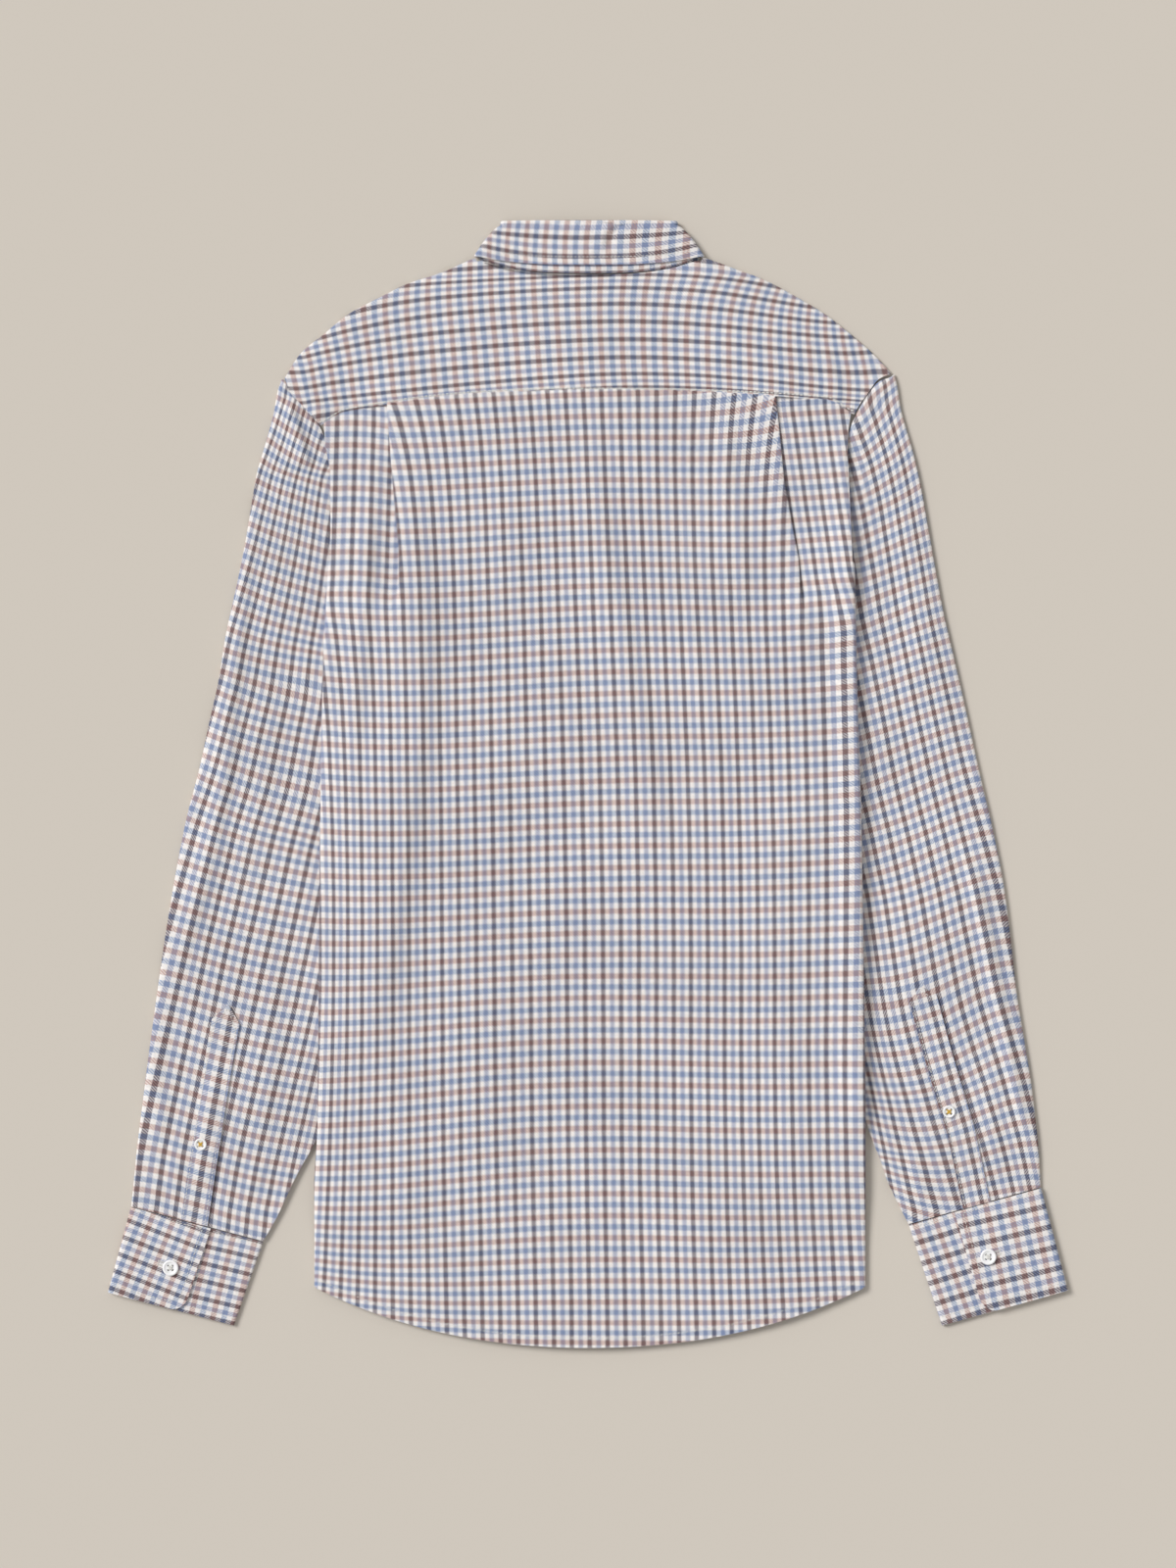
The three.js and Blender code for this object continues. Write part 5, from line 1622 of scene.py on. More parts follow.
@dataclass
class StitchRow:
    """A row of short thread stitches laid along a line on one or more cloth pieces."""

    pitch: float = 3.0
    length: float = 2.2
    radius: float = 0.26
    slant: float = 0.0
    from_above: bool = True
    rings: int = 5
    sides: int = 6
    drop_from: float = 0.1

    def land(self, tree: BVHTree, points: Array) -> tuple[Array, Array]:
        """Drops points onto the cloth.

        Args:
            tree: The cloth's faces.
            points: Places across and along, in millimetres.

        Returns:
            The points that met the cloth and which ones they were.
        """
        down = -1.0 if self.from_above else 1.0
        spots = []
        kept = []
        for index, (x, y) in enumerate(points):
            start = Vector((x * MM, y * MM, self.drop_from * -down))
            hit = tree.ray_cast(start, Vector((0.0, 0.0, down)), 2.0 * self.drop_from)[0]
            if hit is not None:
                spots.append([hit.x / MM, hit.y / MM, hit.z / MM])
                kept.append(index)
        return np.array(spots).reshape(-1, 3), np.array(kept, int)

    def place(self, tree: BVHTree, line: Array) -> tuple[Array, Array]:
        """Sets stitches along a line.

        Args:
            tree: The cloth's faces.
            line: The line's points in millimetres.

        Returns:
            Points and faces of the stitches.
        """
        steps = np.linalg.norm(np.diff(line, axis=0), axis=1)
        count = max(2, int(steps.sum() / self.pitch))
        mids = along(line, (np.arange(count) + 0.5) / count)
        ahead = along(line, np.clip((np.arange(count) + 0.62) / count, 0.0, 1.0)) - mids
        ahead /= np.maximum(np.linalg.norm(ahead, axis=1, keepdims=True), 1e-9)
        turn = math.radians(self.slant)
        ahead = np.stack([ahead[:, 0] * math.cos(turn) - ahead[:, 1] * math.sin(turn),
                          ahead[:, 0] * math.sin(turn) + ahead[:, 1] * math.cos(turn)], -1)
        spots, kept = self.land(tree, mids)
        if not len(kept):
            return np.zeros((0, 3)), np.zeros((0, 4), int)
        return self.strands(spots, np.hstack([ahead[kept], np.zeros((len(kept), 1))]))

    def strands(self, spots: Array, ahead: Array) -> tuple[Array, Array]:
        """Makes one rounded strand at each spot.

        Args:
            spots: Middles of the strands.
            ahead: Unit directions along them.

        Returns:
            Points and faces.
        """
        up = 1.0 if self.from_above else -1.0
        lift = np.array([0.0, 0.0, up])
        side = np.cross(ahead, lift)
        share = np.linspace(-1.0, 1.0, self.rings)
        girth = np.sqrt(np.maximum(0.0, 1.0 - 0.82 * share ** 4)) * self.radius
        turn = np.arange(self.sides) * (2.0 * math.pi / self.sides)
        line = spots[:, None, None, :] + ahead[:, None, None, :] * (share * self.length / 2.0)[None, :,
                                                                                               None, None]
        round_x = side[:, None, None, :] * (np.cos(turn)[None, :] * girth[:, None])[None, :, :, None]
        height = np.sin(turn)[None, :] * girth[:, None] + (0.2 - 0.3 * share ** 2)[:,
                                                                                   None] * self.radius * 2.0
        points = line + round_x + lift * height[None, :, :, None]
        points[..., 2] = np.maximum(points[..., 2], THREAD_CLEAR)
        count = self.rings * self.sides
        faces = []
        for ring in range(self.rings - 1):
            for k in range(self.sides):
                a = ring * self.sides + k
                b = ring * self.sides + (k + 1) % self.sides
                faces.append([a, b, b + self.sides, a + self.sides])
        offsets = (np.arange(len(spots)) * count)[:, None, None]
        return points.reshape(-1, 3), (np.array(faces)[None] + offsets).reshape(-1, 4)


class Stitching:
    """Collects rows of stitches on the cloth and makes one piece of thread of each seam."""

    def __init__(self, cloths: dict[str, bpy.types.Object]) -> None:
        """Keeps the cloth pieces by name.

        Args:
            cloths: The cloth pieces.
        """
        self.cloths = cloths

    def tree(self, *names: str) -> BVHTree:
        """Joins the faces of some cloth pieces for dropping points on them.

        Args:
            names: Names of the cloth pieces.

        Returns:
            The faces as a tree.
        """
        points = []
        faces = []
        for name in names:
            mesh = self.cloths[name].data
            start = len(points)
            points += [vertex.co.copy() for vertex in mesh.vertices]
            faces += [[start + k for k in face.vertices] for face in mesh.polygons]
        return BVHTree.FromPolygons(points, faces)

    def sew(self, name: str, row: StitchRow, cloths: tuple[str, ...], lines: list[Array]) -> bpy.types.Object:
        """Sews lines of stitches.

        Args:
            name: Name of the piece.
            row: How the stitches are.
            cloths: Cloth pieces that they go through.
            lines: Their lines.

        Returns:
            The thread's object.
        """
        tree = self.tree(*cloths)
        points = []
        faces = []
        start = 0
        for line in lines:
            spots, quads = row.place(tree, np.asarray(line, float))
            points.append(spots)
            faces.append(quads + start)
            start += len(spots)
        item = new_piece(name, np.concatenate(points), np.concatenate(faces))
        LOG.info("%s: %d stitches", name, start // (row.rings * row.sides))
        return item


@dataclass
class Button:
    """A four-hole button with a raised rim and thread in its holes, on its node's place."""

    node: str
    faces_up: bool = True
    hole_radius: float = 0.8
    hole_spread: float = 1.5
    thread_radius: float = 0.3
    turns: int = 56
    strand_sides: int = 7
    well: float = 0.64
    well_below: float = 0.36

    def seat(self) -> tuple[Array, float, float]:
        """Reads the node's place.

        Returns:
            Middle of its base, its radius and its thickness, in millimetres.
        """
        low, high = (np.array(corner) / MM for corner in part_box(self.node))
        middle = (low + high) / 2.0
        return np.array([middle[0], middle[1], low[2]]), (high[0] - low[0]) / 2.0, high[2] - low[2]

    def profile(self, radius: float, thick: float) -> Array:
        """Lays out half of the button's section, from its middle below to its middle on top.

        Args:
            radius: Radius of the button.
            thick: Its thickness.

        Returns:
            Rows of radius and height.
        """
        share = np.array([[0.0, 0.0], [0.55, 0.0], [0.80, 0.02], [0.90, 0.10], [0.965, 0.26], [1.0, 0.50],
                          [0.985, 0.74], [0.94, 0.92], [0.87, 1.0], [0.79, 0.985], [0.71, 0.90], [0.64, 0.76],
                          [0.58, 0.68], [0.50, 0.65], [0.25, 0.64], [0.0, 0.64]])
        return share * np.array([radius, thick])

    def body(self) -> bpy.types.Object:
        """Turns the button and drills its holes.

        Returns:
            The button's object.
        """
        base, radius, thick = self.seat()
        section = self.profile(radius, thick)
        if not self.faces_up:
            section = np.stack([section[::-1, 0], thick - section[::-1, 1]], -1)
        sides = self.turns
        turns = np.linspace(0.0, 2.0 * math.pi, sides + 1)[:-1]
        ring = section[1:-1]
        points = [np.stack([np.cos(turns) * r, np.sin(turns) * r, np.full(sides, z)], -1) for r, z in ring]
        points = np.concatenate(points + [np.array([[0.0, 0.0, section[0, 1]], [0.0, 0.0, section[-1, 1]]])])
        faces = []
        for k in range(len(ring) - 1):
            a, b = k * sides, (k + 1) * sides
            for j in range(sides):
                n = (j + 1) % sides
                faces.append((a + j, a + n, b + n, b + j))
        last = (len(ring) - 1) * sides
        for j in range(sides):
            n = (j + 1) % sides
            faces.append((len(points) - 2, n, j))
            faces.append((len(points) - 1, last + j, last + n))
        item = new_piece(self.node + "_pearl", points + base, faces, (self.node,))
        self.drill(item, base, thick)
        return item

    def drill(self, item: bpy.types.Object, base: Array, thick: float) -> None:
        """Cuts the four holes.

        Args:
            item: The button.
            base: Middle of its base.
            thick: Its thickness.
        """
        tool = bmesh.new()
        for sx in (-1.0, 1.0):
            for sy in (-1.0, 1.0):
                spot = base + np.array([sx * self.hole_spread, sy * self.hole_spread, thick / 2.0])
                bmesh.ops.create_cone(tool, cap_ends=True, segments=20, radius1=self.hole_radius * MM,
                                      radius2=self.hole_radius * MM, depth=thick * 2.0 * MM,
                                      matrix=Matrix.Translation(Vector(spot * MM)))
        cutter_mesh = bpy.data.meshes.new("drill")
        tool.to_mesh(cutter_mesh)
        tool.free()
        cutter = link("drill", cutter_mesh)
        cut = item.modifiers.new("holes", "BOOLEAN")
        cut.operation = "DIFFERENCE"
        cut.solver = "EXACT"
        cut.object = cutter
        bpy.context.view_layer.update()
        made = bpy.data.meshes.new_from_object(item.evaluated_get(bpy.context.evaluated_depsgraph_get()))
        item.modifiers.clear()
        item.data = made
        bpy.data.objects.remove(cutter)
        made.shade_smooth()
        made.set_sharp_from_angle(angle=math.radians(38.0))

    def thread(self) -> bpy.types.Object:
        """Sews the button on with two crossed bars of thread.

        Returns:
            The thread's object.
        """
        base, _, thick = self.seat()
        points = []
        faces = []
        reach = self.hole_spread
        share = np.linspace(-1.0, 1.0, 15)
        well = (self.well if self.faces_up else self.well_below) * thick
        out = 1.0 if self.faces_up else -1.0
        for bar, turn in enumerate((math.pi / 4.0, -math.pi / 4.0)):
            d = np.array([math.cos(turn), math.sin(turn), 0.0])
            side = np.array([-d[1], d[0], 0.0])
            for strand in (-1.0, 0.0, 1.0):
                mids = d * (share * reach * math.sqrt(2.0))[:,
                                                            None] + side * strand * self.thread_radius * 1.25
                arch = well + out * (0.1 + 0.25 * bar + self.thread_radius)
                dive = out * 1.5 * np.clip(np.abs(share) - 0.78, 0.0, 1.0) / 0.22
                mids[:, 2] += arch - dive + out * 0.12 * (1.0 - strand ** 2)
                mids = mids + base
                mids[:, 2] = np.maximum(mids[:, 2], self.thread_radius + THREAD_CLEAR)
                self.tube(points, faces, mids, d)
        return new_piece(self.node + "_thread", np.concatenate(points), faces)

    def tube(self, points: list, faces: list, mids: Array, direction: Array) -> None:
        """Adds one strand round a line of middles.

        Args:
            points: List of point arrays, added to.
            faces: List of faces, added to.
            mids: The strand's middles.
            direction: Its direction in plan.
        """
        start = sum(len(part) for part in points)
        side = np.array([-direction[1], direction[0], 0.0])
        sides = self.strand_sides
        turns = np.arange(sides) * (2.0 * math.pi / sides)
        ring = side[None] * np.cos(turns)[:, None] + np.array([0.0, 0.0, 1.0])[None] * np.sin(turns)[:, None]
        points.append((mids[:, None, :] + ring[None] * self.thread_radius).reshape(-1, 3))
        for k in range(len(mids) - 1):
            a, b = start + k * sides, start + (k + 1) * sides
            for j in range(sides):
                n = (j + 1) % sides
                faces.append((a + j, a + n, b + n, b + j))


class Graph:
    """Short ways to fill a node tree."""

    def __init__(self, tree: bpy.types.NodeTree) -> None:
        """Keeps the tree.

        Args:
            tree: The tree to fill.
        """
        self.tree = tree

    def add(self, kind: str, **settings: object) -> bpy.types.Node:
        """Adds a node.

        Args:
            kind: Its type.
            **settings: Values of its properties.

        Returns:
            The node.
        """
        node = self.tree.nodes.new(kind)
        for key, value in settings.items():
            setattr(node, key, value)
        return node

    def put(self, socket: bpy.types.NodeSocket, value: object) -> None:
        """Links a socket to another, or sets its value."""
        if isinstance(value, bpy.types.NodeSocket):
            self.tree.links.new(value, socket)
        else:
            socket.default_value = value

    def fill(self, node: bpy.types.Node, values: dict[str, object]) -> None:
        """Links or sets some of a node's inputs by name."""
        for label, value in values.items():
            self.put(node.inputs[label], value)

    def relief(self, shader: bpy.types.Node, height: object, strength: float, distance: float) -> None:
        """Gives a surface shader fine relief.

        Args:
            shader: The surface shader.
            height: Height of the relief.
            strength: How strongly it shows.
            distance: How deep it is in metres.
        """
        bump = self.add("ShaderNodeBump")
        self.fill(bump, {"Strength": strength, "Distance": distance, "Height": height})
        self.put(shader.inputs["Normal"], bump.outputs[0])

    def math(self, operation: str, *values: object, clamp: bool = False) -> bpy.types.NodeSocket:
        """Adds a sum on numbers.

        Args:
            operation: Its kind.
            *values: Sockets or numbers.
            clamp: Whether the result stays from 0 to 1.

        Returns:
            The result.
        """
        node = self.add("ShaderNodeMath", operation=operation, use_clamp=clamp)
        for socket, value in zip(node.inputs, values):
            self.put(socket, value)
        return node.outputs[0]

    def vector(self, operation: str, first: object, second: object) -> bpy.types.NodeSocket:
        """Adds a sum on vectors.

        Args:
            operation: Its kind.
            first: Socket or value.
            second: Socket or value.

        Returns:
            The result.
        """
        node = self.add("ShaderNodeVectorMath", operation=operation)
        self.put(node.inputs[0], first)
        self.put(node.inputs[3 if operation == "SCALE" else 1], second)
        return node.outputs[0]

    def noise(self, place: object, scale: object, detail: float = 2.0, rough: float = 0.5) -> bpy.types.Node:
        """Adds soft noise.

        Args:
            place: Where to read it.
            scale: Its scale.
            detail: Its octaves.
            rough: Their strength.

        Returns:
            The noise node.
        """
        node = self.add("ShaderNodeTexNoise")
        self.put(node.inputs["Vector"], place)
        self.put(node.inputs["Scale"], scale)
        node.inputs["Detail"].default_value = detail
        node.inputs["Roughness"].default_value = rough
        return node

    def remap(self, value: object, limits: tuple[float, float], onto: tuple[float, float],
              soft: bool = False) -> bpy.types.NodeSocket:
        """Maps one range onto another.

        Args:
            value: The number.
            limits: Range that it comes from.
            onto: Range that it goes to.
            soft: Whether the ends are eased.

        Returns:
            The result.
        """
        node = self.add("ShaderNodeMapRange", interpolation_type="SMOOTHSTEP" if soft else "LINEAR")
        self.put(node.inputs[0], value)
        for socket, number in zip(node.inputs[1:5], (*limits, *onto)):
            socket.default_value = number
        return node.outputs[0]

    def blend(self, share: object, a: object, b: object, kind: str = "MIX") -> bpy.types.NodeSocket:
        """Mixes two colours.

        Args:
            share: Share of the second.
            a: First colour.
            b: Second colour.
            kind: Blend type.

        Returns:
            The mixed colour.
        """
        node = self.add("ShaderNodeMix", data_type="RGBA", blend_type=kind)
        self.put(node.inputs[0], share)
        self.put(node.inputs[6], a)
        self.put(node.inputs[7], b)
        return node.outputs[2]


def start_material(name: str) -> tuple[bpy.types.Material, Graph, bpy.types.Node]:
    """Starts a material.

    Args:
        name: Name of the material.

    Returns:
        The material, its graph and its surface shader.
    """
    material = bpy.data.materials.new(name)
    material.use_nodes = True
    return material, Graph(material.node_tree), material.node_tree.nodes["Principled BSDF"]


def shown(red: int, green: int, blue: int) -> tuple[float, float, float, float]:
    """Gives a colour as it looks, from 0 to 1 on the display's own scale."""
    return (red / 255.0, green / 255.0, blue / 255.0, 1.0)


def linear(red: int, green: int, blue: int) -> tuple[float, float, float, float]:
    """Gives a colour as light, from its look on the display."""
    parts = [value / 255.0 for value in (red, green, blue)]
    light = [part / 12.92 if part <= 0.04045 else ((part + 0.055) / 1.055) ** 2.4 for part in parts]
    return (*light, 1.0)


@dataclass(frozen=True)
class Threads:
    """Colours of the yarns, as they look."""

    dark: tuple[int, int, int] = (64, 55, 66)
    cream: tuple[int, int, int] = (237, 232, 229)
    blue_warp: tuple[int, int, int] = (133, 140, 170)
    blue_weft: tuple[int, int, int] = (121, 141, 176)
    brown_weft: tuple[int, int, int] = (173, 132, 121)


def open_group(name: str, inputs: list[tuple[str, str, object]], outputs: list[tuple[str, str]]) -> tuple:
    """Starts a shader node group with named inputs and outputs.

    Args:
        name: Name of the group.
        inputs: Name, socket type and standing value of each input.
        outputs: Name and socket type of each output.

    Returns:
        The group's tree, its graph, its input node and its output node.
    """
    tree = bpy.data.node_groups.new(name, "ShaderNodeTree")
    for label, kind, value in inputs:
        socket = tree.interface.new_socket(label, in_out="INPUT", socket_type=kind)
        if value is not None:
            socket.default_value = value
    for label, kind in outputs:
        tree.interface.new_socket(label, in_out="OUTPUT", socket_type=kind)
    graph = Graph(tree)
    return tree, graph, graph.add("NodeGroupInput"), graph.add("NodeGroupOutput")


def stripes(graph: Graph, place: object, colours: list[tuple[int, int, int]],
            edge: float) -> bpy.types.NodeSocket:
    """Colours a repeat of four equal stripes.

    Args:
        graph: The graph to add to.
        place: Place in the repeat from 0 to 1.
        colours: The four colours.
        edge: Half width of the blur between two stripes.

    Returns:
        The colour.
    """
    ramp = graph.add("ShaderNodeValToRGB")
    graph.put(ramp.inputs[0], place)
    band = ramp.color_ramp
    band.interpolation = "LINEAR"
    stops = [(0.0, 3, 0.5), (edge, 0, 1.0)]
    for k in range(3):
        border = 0.25 * (k + 1)
        stops += [(border - edge, k, 1.0), (border + edge, k + 1, 1.0)]
    stops += [(1.0 - edge, 3, 1.0), (1.0, 0, 0.5)]
    while len(band.elements) > 1:
        band.elements.remove(band.elements[-1])
    for index, (spot, which, share) in enumerate(stops):
        element = band.elements[0] if index == 0 else band.elements.new(spot)
        element.position = spot
        colour = np.array(shown(*colours[which]))
        if share < 1.0:
            colour = 0.5 * (np.array(shown(*colours[0])) + np.array(shown(*colours[3])))
        element.color = colour
    return ramp.outputs[0]


class WovenCheck:
    """The twill check: striped warp over striped weft, brushed so that they blend."""

    def __init__(self, threads: Threads) -> None:
        """Builds the group.

        Args:
            threads: Colours of the yarns.
        """
        inputs = [("Cloth", "NodeSocketVector", None), ("Warp Repeat", "NodeSocketFloat", 12.46),
                  ("Weft Repeat", "NodeSocketFloat", 15.3), ("Warp Start", "NodeSocketFloat", 0.0),
                  ("Weft Start", "NodeSocketFloat", 0.0), ("Twill Repeat", "NodeSocketFloat", 1.9)]
        outputs = [("Color", "NodeSocketColor"), ("Twill", "NodeSocketFloat"), ("Height", "NodeSocketFloat")]
        self.tree, g, enter, leave = open_group("WovenCheck", inputs, outputs)
        mm = g.vector("SCALE", enter.outputs["Cloth"], MM_PER_UV)
        slow = g.vector("SUBTRACT", g.noise(mm, 0.014, 2.0).outputs["Color"], (0.5, 0.5, 0.5))
        ragged = g.vector("SUBTRACT", g.noise(mm, 0.9, 1.0).outputs["Color"], (0.5, 0.5, 0.5))
        moved = g.vector("ADD", mm, g.vector("SCALE", slow, 0.8))
        moved = g.vector("ADD", moved, g.vector("SCALE", ragged, 0.8))
        parts = g.add("ShaderNodeSeparateXYZ")
        g.put(parts.inputs[0], moved)
        plain = g.add("ShaderNodeSeparateXYZ")
        g.put(plain.inputs[0], mm)
        warp_at = g.math("ADD", parts.outputs[0], enter.outputs["Warp Start"])
        weft_at = g.math("ADD", parts.outputs[1], enter.outputs["Weft Start"])
        warp_at = g.math("FRACT", g.math("DIVIDE", warp_at, enter.outputs["Warp Repeat"]))
        weft_at = g.math("FRACT", g.math("DIVIDE", weft_at, enter.outputs["Weft Repeat"]))
        warp = stripes(g, warp_at, [threads.dark, threads.cream, threads.blue_warp, threads.cream], 0.022)
        weft = stripes(g, weft_at, [threads.blue_weft, threads.cream, threads.brown_weft, threads.cream],
                       0.02)
        slant = g.math("ADD", plain.outputs[0], plain.outputs[1])
        rib = g.math("FRACT", g.math("DIVIDE", slant, enter.outputs["Twill Repeat"]))
        rib = g.math("MULTIPLY", g.math("ABSOLUTE", g.math("SUBTRACT", rib, 0.5)), 2.0)
        ribbed = g.remap(rib, (0.28, 0.72), (0.0, 1.0), True)
        yarn_u = g.math("SINE", g.math("MULTIPLY", plain.outputs[0], 2.0 * math.pi / 0.48))
        yarn_v = g.math("SINE", g.math("MULTIPLY", plain.outputs[1], 2.0 * math.pi / 0.48))
        share = g.remap(ribbed, (0.0, 1.0), (0.30, 0.74))
        color = g.blend(share, weft, warp)
        dirt = g.remap(g.noise(mm, 0.55, 2.0).outputs[0], (0.3, 0.7), (0.955, 1.03))
        patch = g.remap(g.noise(mm, 0.012, 3.0).outputs[0], (0.3, 0.7), (0.975, 1.02))
        tone = g.math("MULTIPLY", dirt, patch)
        color = g.vector("SCALE", color, tone)
        gamma = g.add("ShaderNodeGamma")
        g.put(gamma.inputs[0], color)
        gamma.inputs[1].default_value = 2.2
        g.put(leave.inputs["Color"], gamma.outputs[0])
        g.put(leave.inputs["Twill"], ribbed)
        yarns = g.math("ADD", g.math("MULTIPLY", ribbed, yarn_u), g.math("MULTIPLY", yarn_v, 0.6))
        g.put(leave.inputs["Height"], g.math("ADD", g.math("MULTIPLY", yarns, 0.22), ribbed))


class Nap:
    """The brushed fibres over the cloth: a pale haze, a soft mottle and a fuzzy surface."""

    def __init__(self) -> None:
        """Builds the group."""
        inputs = [("Place", "NodeSocketVector", None), ("Color", "NodeSocketColor", (0.5, 0.5, 0.5, 1.0)),
                  ("Haze", "NodeSocketFloat", 0.05), ("Wear", "NodeSocketFloat", 0.05)]
        outputs = [("Color", "NodeSocketColor"), ("Roughness", "NodeSocketFloat"),
                   ("Height", "NodeSocketFloat")]
        self.tree, g, enter, leave = open_group("Nap", inputs, outputs)
        mm = g.vector("SCALE", enter.outputs["Place"], MM_PER_M)
        fibre = g.noise(mm, 1.1, 4.0, 0.7).outputs[0]
        tuft = g.noise(mm, 0.24, 2.0).outputs[0]
        worn = g.noise(mm, 0.02, 3.0).outputs[0]
        haze = g.math("MULTIPLY", g.remap(fibre, (0.42, 0.66), (0.0, 1.6), True), enter.outputs["Haze"])
        color = g.blend(haze, enter.outputs["Color"], linear(226, 222, 214))
        wear = g.math("MULTIPLY", g.remap(worn, (0.5, 0.72), (0.0, 1.0), True), enter.outputs["Wear"])
        color = g.blend(wear, color, linear(214, 210, 205))
        g.put(leave.inputs["Color"], color)
        g.put(leave.inputs["Roughness"], g.remap(tuft, (0.3, 0.7), (0.86, 0.98)))
        height = g.math("ADD", g.math("MULTIPLY", fibre, 0.55), g.math("MULTIPLY", tuft, 0.9))
        g.put(leave.inputs["Height"], height)


@dataclass(frozen=True)
class Flannel:
    """The brushed cotton, with one set of places of its stripes."""

    name: str
    warp_start: float = 1.5575
    weft_start: float = 1.9125
    warp_repeat: float = 12.46
    weft_repeat: float = 15.3
    haze: float = 0.03
    wear: float = 0.04
    specular: float = 0.12
    sheen: float = 0.12
    sheen_roughness: float = 0.6
    bump: float = 0.35
    bump_depth: float = 0.0003

    def make(self, weave: WovenCheck, nap: Nap) -> bpy.types.Material:
        """Builds the material.

        Args:
            weave: The check.
            nap: The brushed surface.

        Returns:
            The material.
        """
        material, g, shader = start_material(self.name)
        cloth = g.add("ShaderNodeUVMap", uv_map="Cloth")
        check = g.add("ShaderNodeGroup", node_tree=weave.tree)
        g.fill(check, {"Cloth": cloth.outputs[0], "Warp Repeat": self.warp_repeat,
                       "Weft Repeat": self.weft_repeat,
                       "Warp Start": self.warp_start, "Weft Start": self.weft_start})
        place = g.add("ShaderNodeTexCoord")
        brushed = g.add("ShaderNodeGroup", node_tree=nap.tree)
        g.fill(brushed, {"Place": place.outputs["Object"], "Color": check.outputs["Color"], "Haze": self.haze,
                         "Wear": self.wear})
        g.fill(shader, {"Base Color": brushed.outputs["Color"], "Roughness": brushed.outputs["Roughness"],
                        "Specular IOR Level": self.specular, "Sheen Weight": self.sheen,
                        "Sheen Roughness": self.sheen_roughness})
        height = g.math("ADD", brushed.outputs["Height"], check.outputs["Height"])
        g.relief(shader, height, self.bump, self.bump_depth)
        return material


@dataclass(frozen=True)
class Pearl:
    """The pearly resin of the buttons."""

    name: str = "button_pearl"
    roughness: float = 0.24
    dull_roughness: float = 0.38
    coat: float = 0.5
    coat_roughness: float = 0.12
    bump: float = 0.08
    bump_depth: float = 0.0003

    def make(self) -> bpy.types.Material:
        """Builds the material.

        Returns:
            The material.
        """
        material, g, shader = start_material(self.name)
        place = g.add("ShaderNodeTexCoord")
        mm = g.vector("SCALE", place.outputs["Object"], MM_PER_M)
        cloud = g.noise(mm, 0.32, 3.0, 0.6)
        band = g.add("ShaderNodeTexWave", wave_type="BANDS", bands_direction="DIAGONAL")
        g.fill(band, {"Vector": mm, "Scale": 0.12, "Distortion": 6.0, "Detail": 2.0})
        tint = g.blend(g.remap(cloud.outputs[0], (0.35, 0.65), (0.0, 1.0), True), linear(249, 246, 249),
                       linear(238, 240, 236))
        streak = g.math("MULTIPLY", band.outputs["Fac"], 0.3)
        color = g.blend(streak, tint, linear(252, 250, 250))
        rough = g.remap(cloud.outputs[0], (0.3, 0.7), (self.roughness, self.dull_roughness))
        g.fill(shader, {"Base Color": color, "Roughness": rough, "Coat Weight": self.coat,
                        "Coat Roughness": self.coat_roughness})
        g.relief(shader, band.outputs["Fac"], self.bump, self.bump_depth)
        return material


@dataclass(frozen=True)
class Cotton:
    """Sewing thread: twisted cotton in one colour, with painted shade in bands along the grooves of its
    twist, paler where it is rubbed.
    """

    name: str
    color: tuple[int, int, int]
    bump: float = 0.3
    bump_depth: float = 0.0001

    def make(self) -> bpy.types.Material:
        """Builds the material.

        Returns:
            The material.
        """
        material, g, shader = start_material(self.name)
        place = g.add("ShaderNodeTexCoord")
        mm = g.vector("SCALE", place.outputs["Object"], MM_PER_M)
        twist = g.add("ShaderNodeTexWave", wave_type="BANDS", bands_direction="DIAGONAL")
        g.fill(twist, {"Vector": mm, "Scale": 1.6, "Distortion": 1.0})
        rubbed = g.noise(mm, 0.35, 2.0).outputs[0]
        base = linear(*self.color)
        # Painted shade: the thread's own colour darkened to 80 per cent, laid in bands along the twist where
        # the grooves between plies fall in shade.
        twist_shade = tuple(part * 0.80 for part in base[:3]) + (1.0,)
        color = g.blend(g.remap(twist.outputs["Fac"], (0.2, 0.8), (0.0, 1.0)), twist_shade, base)
        color = g.blend(g.remap(rubbed, (0.45, 0.7), (0.0, 0.25)), color, linear(240, 238, 232))
        g.fill(shader, {"Base Color": color, "Roughness": g.remap(rubbed, (0.3, 0.7), (0.6, 0.8))})
        g.relief(shader, twist.outputs["Fac"], self.bump, self.bump_depth)
        return material


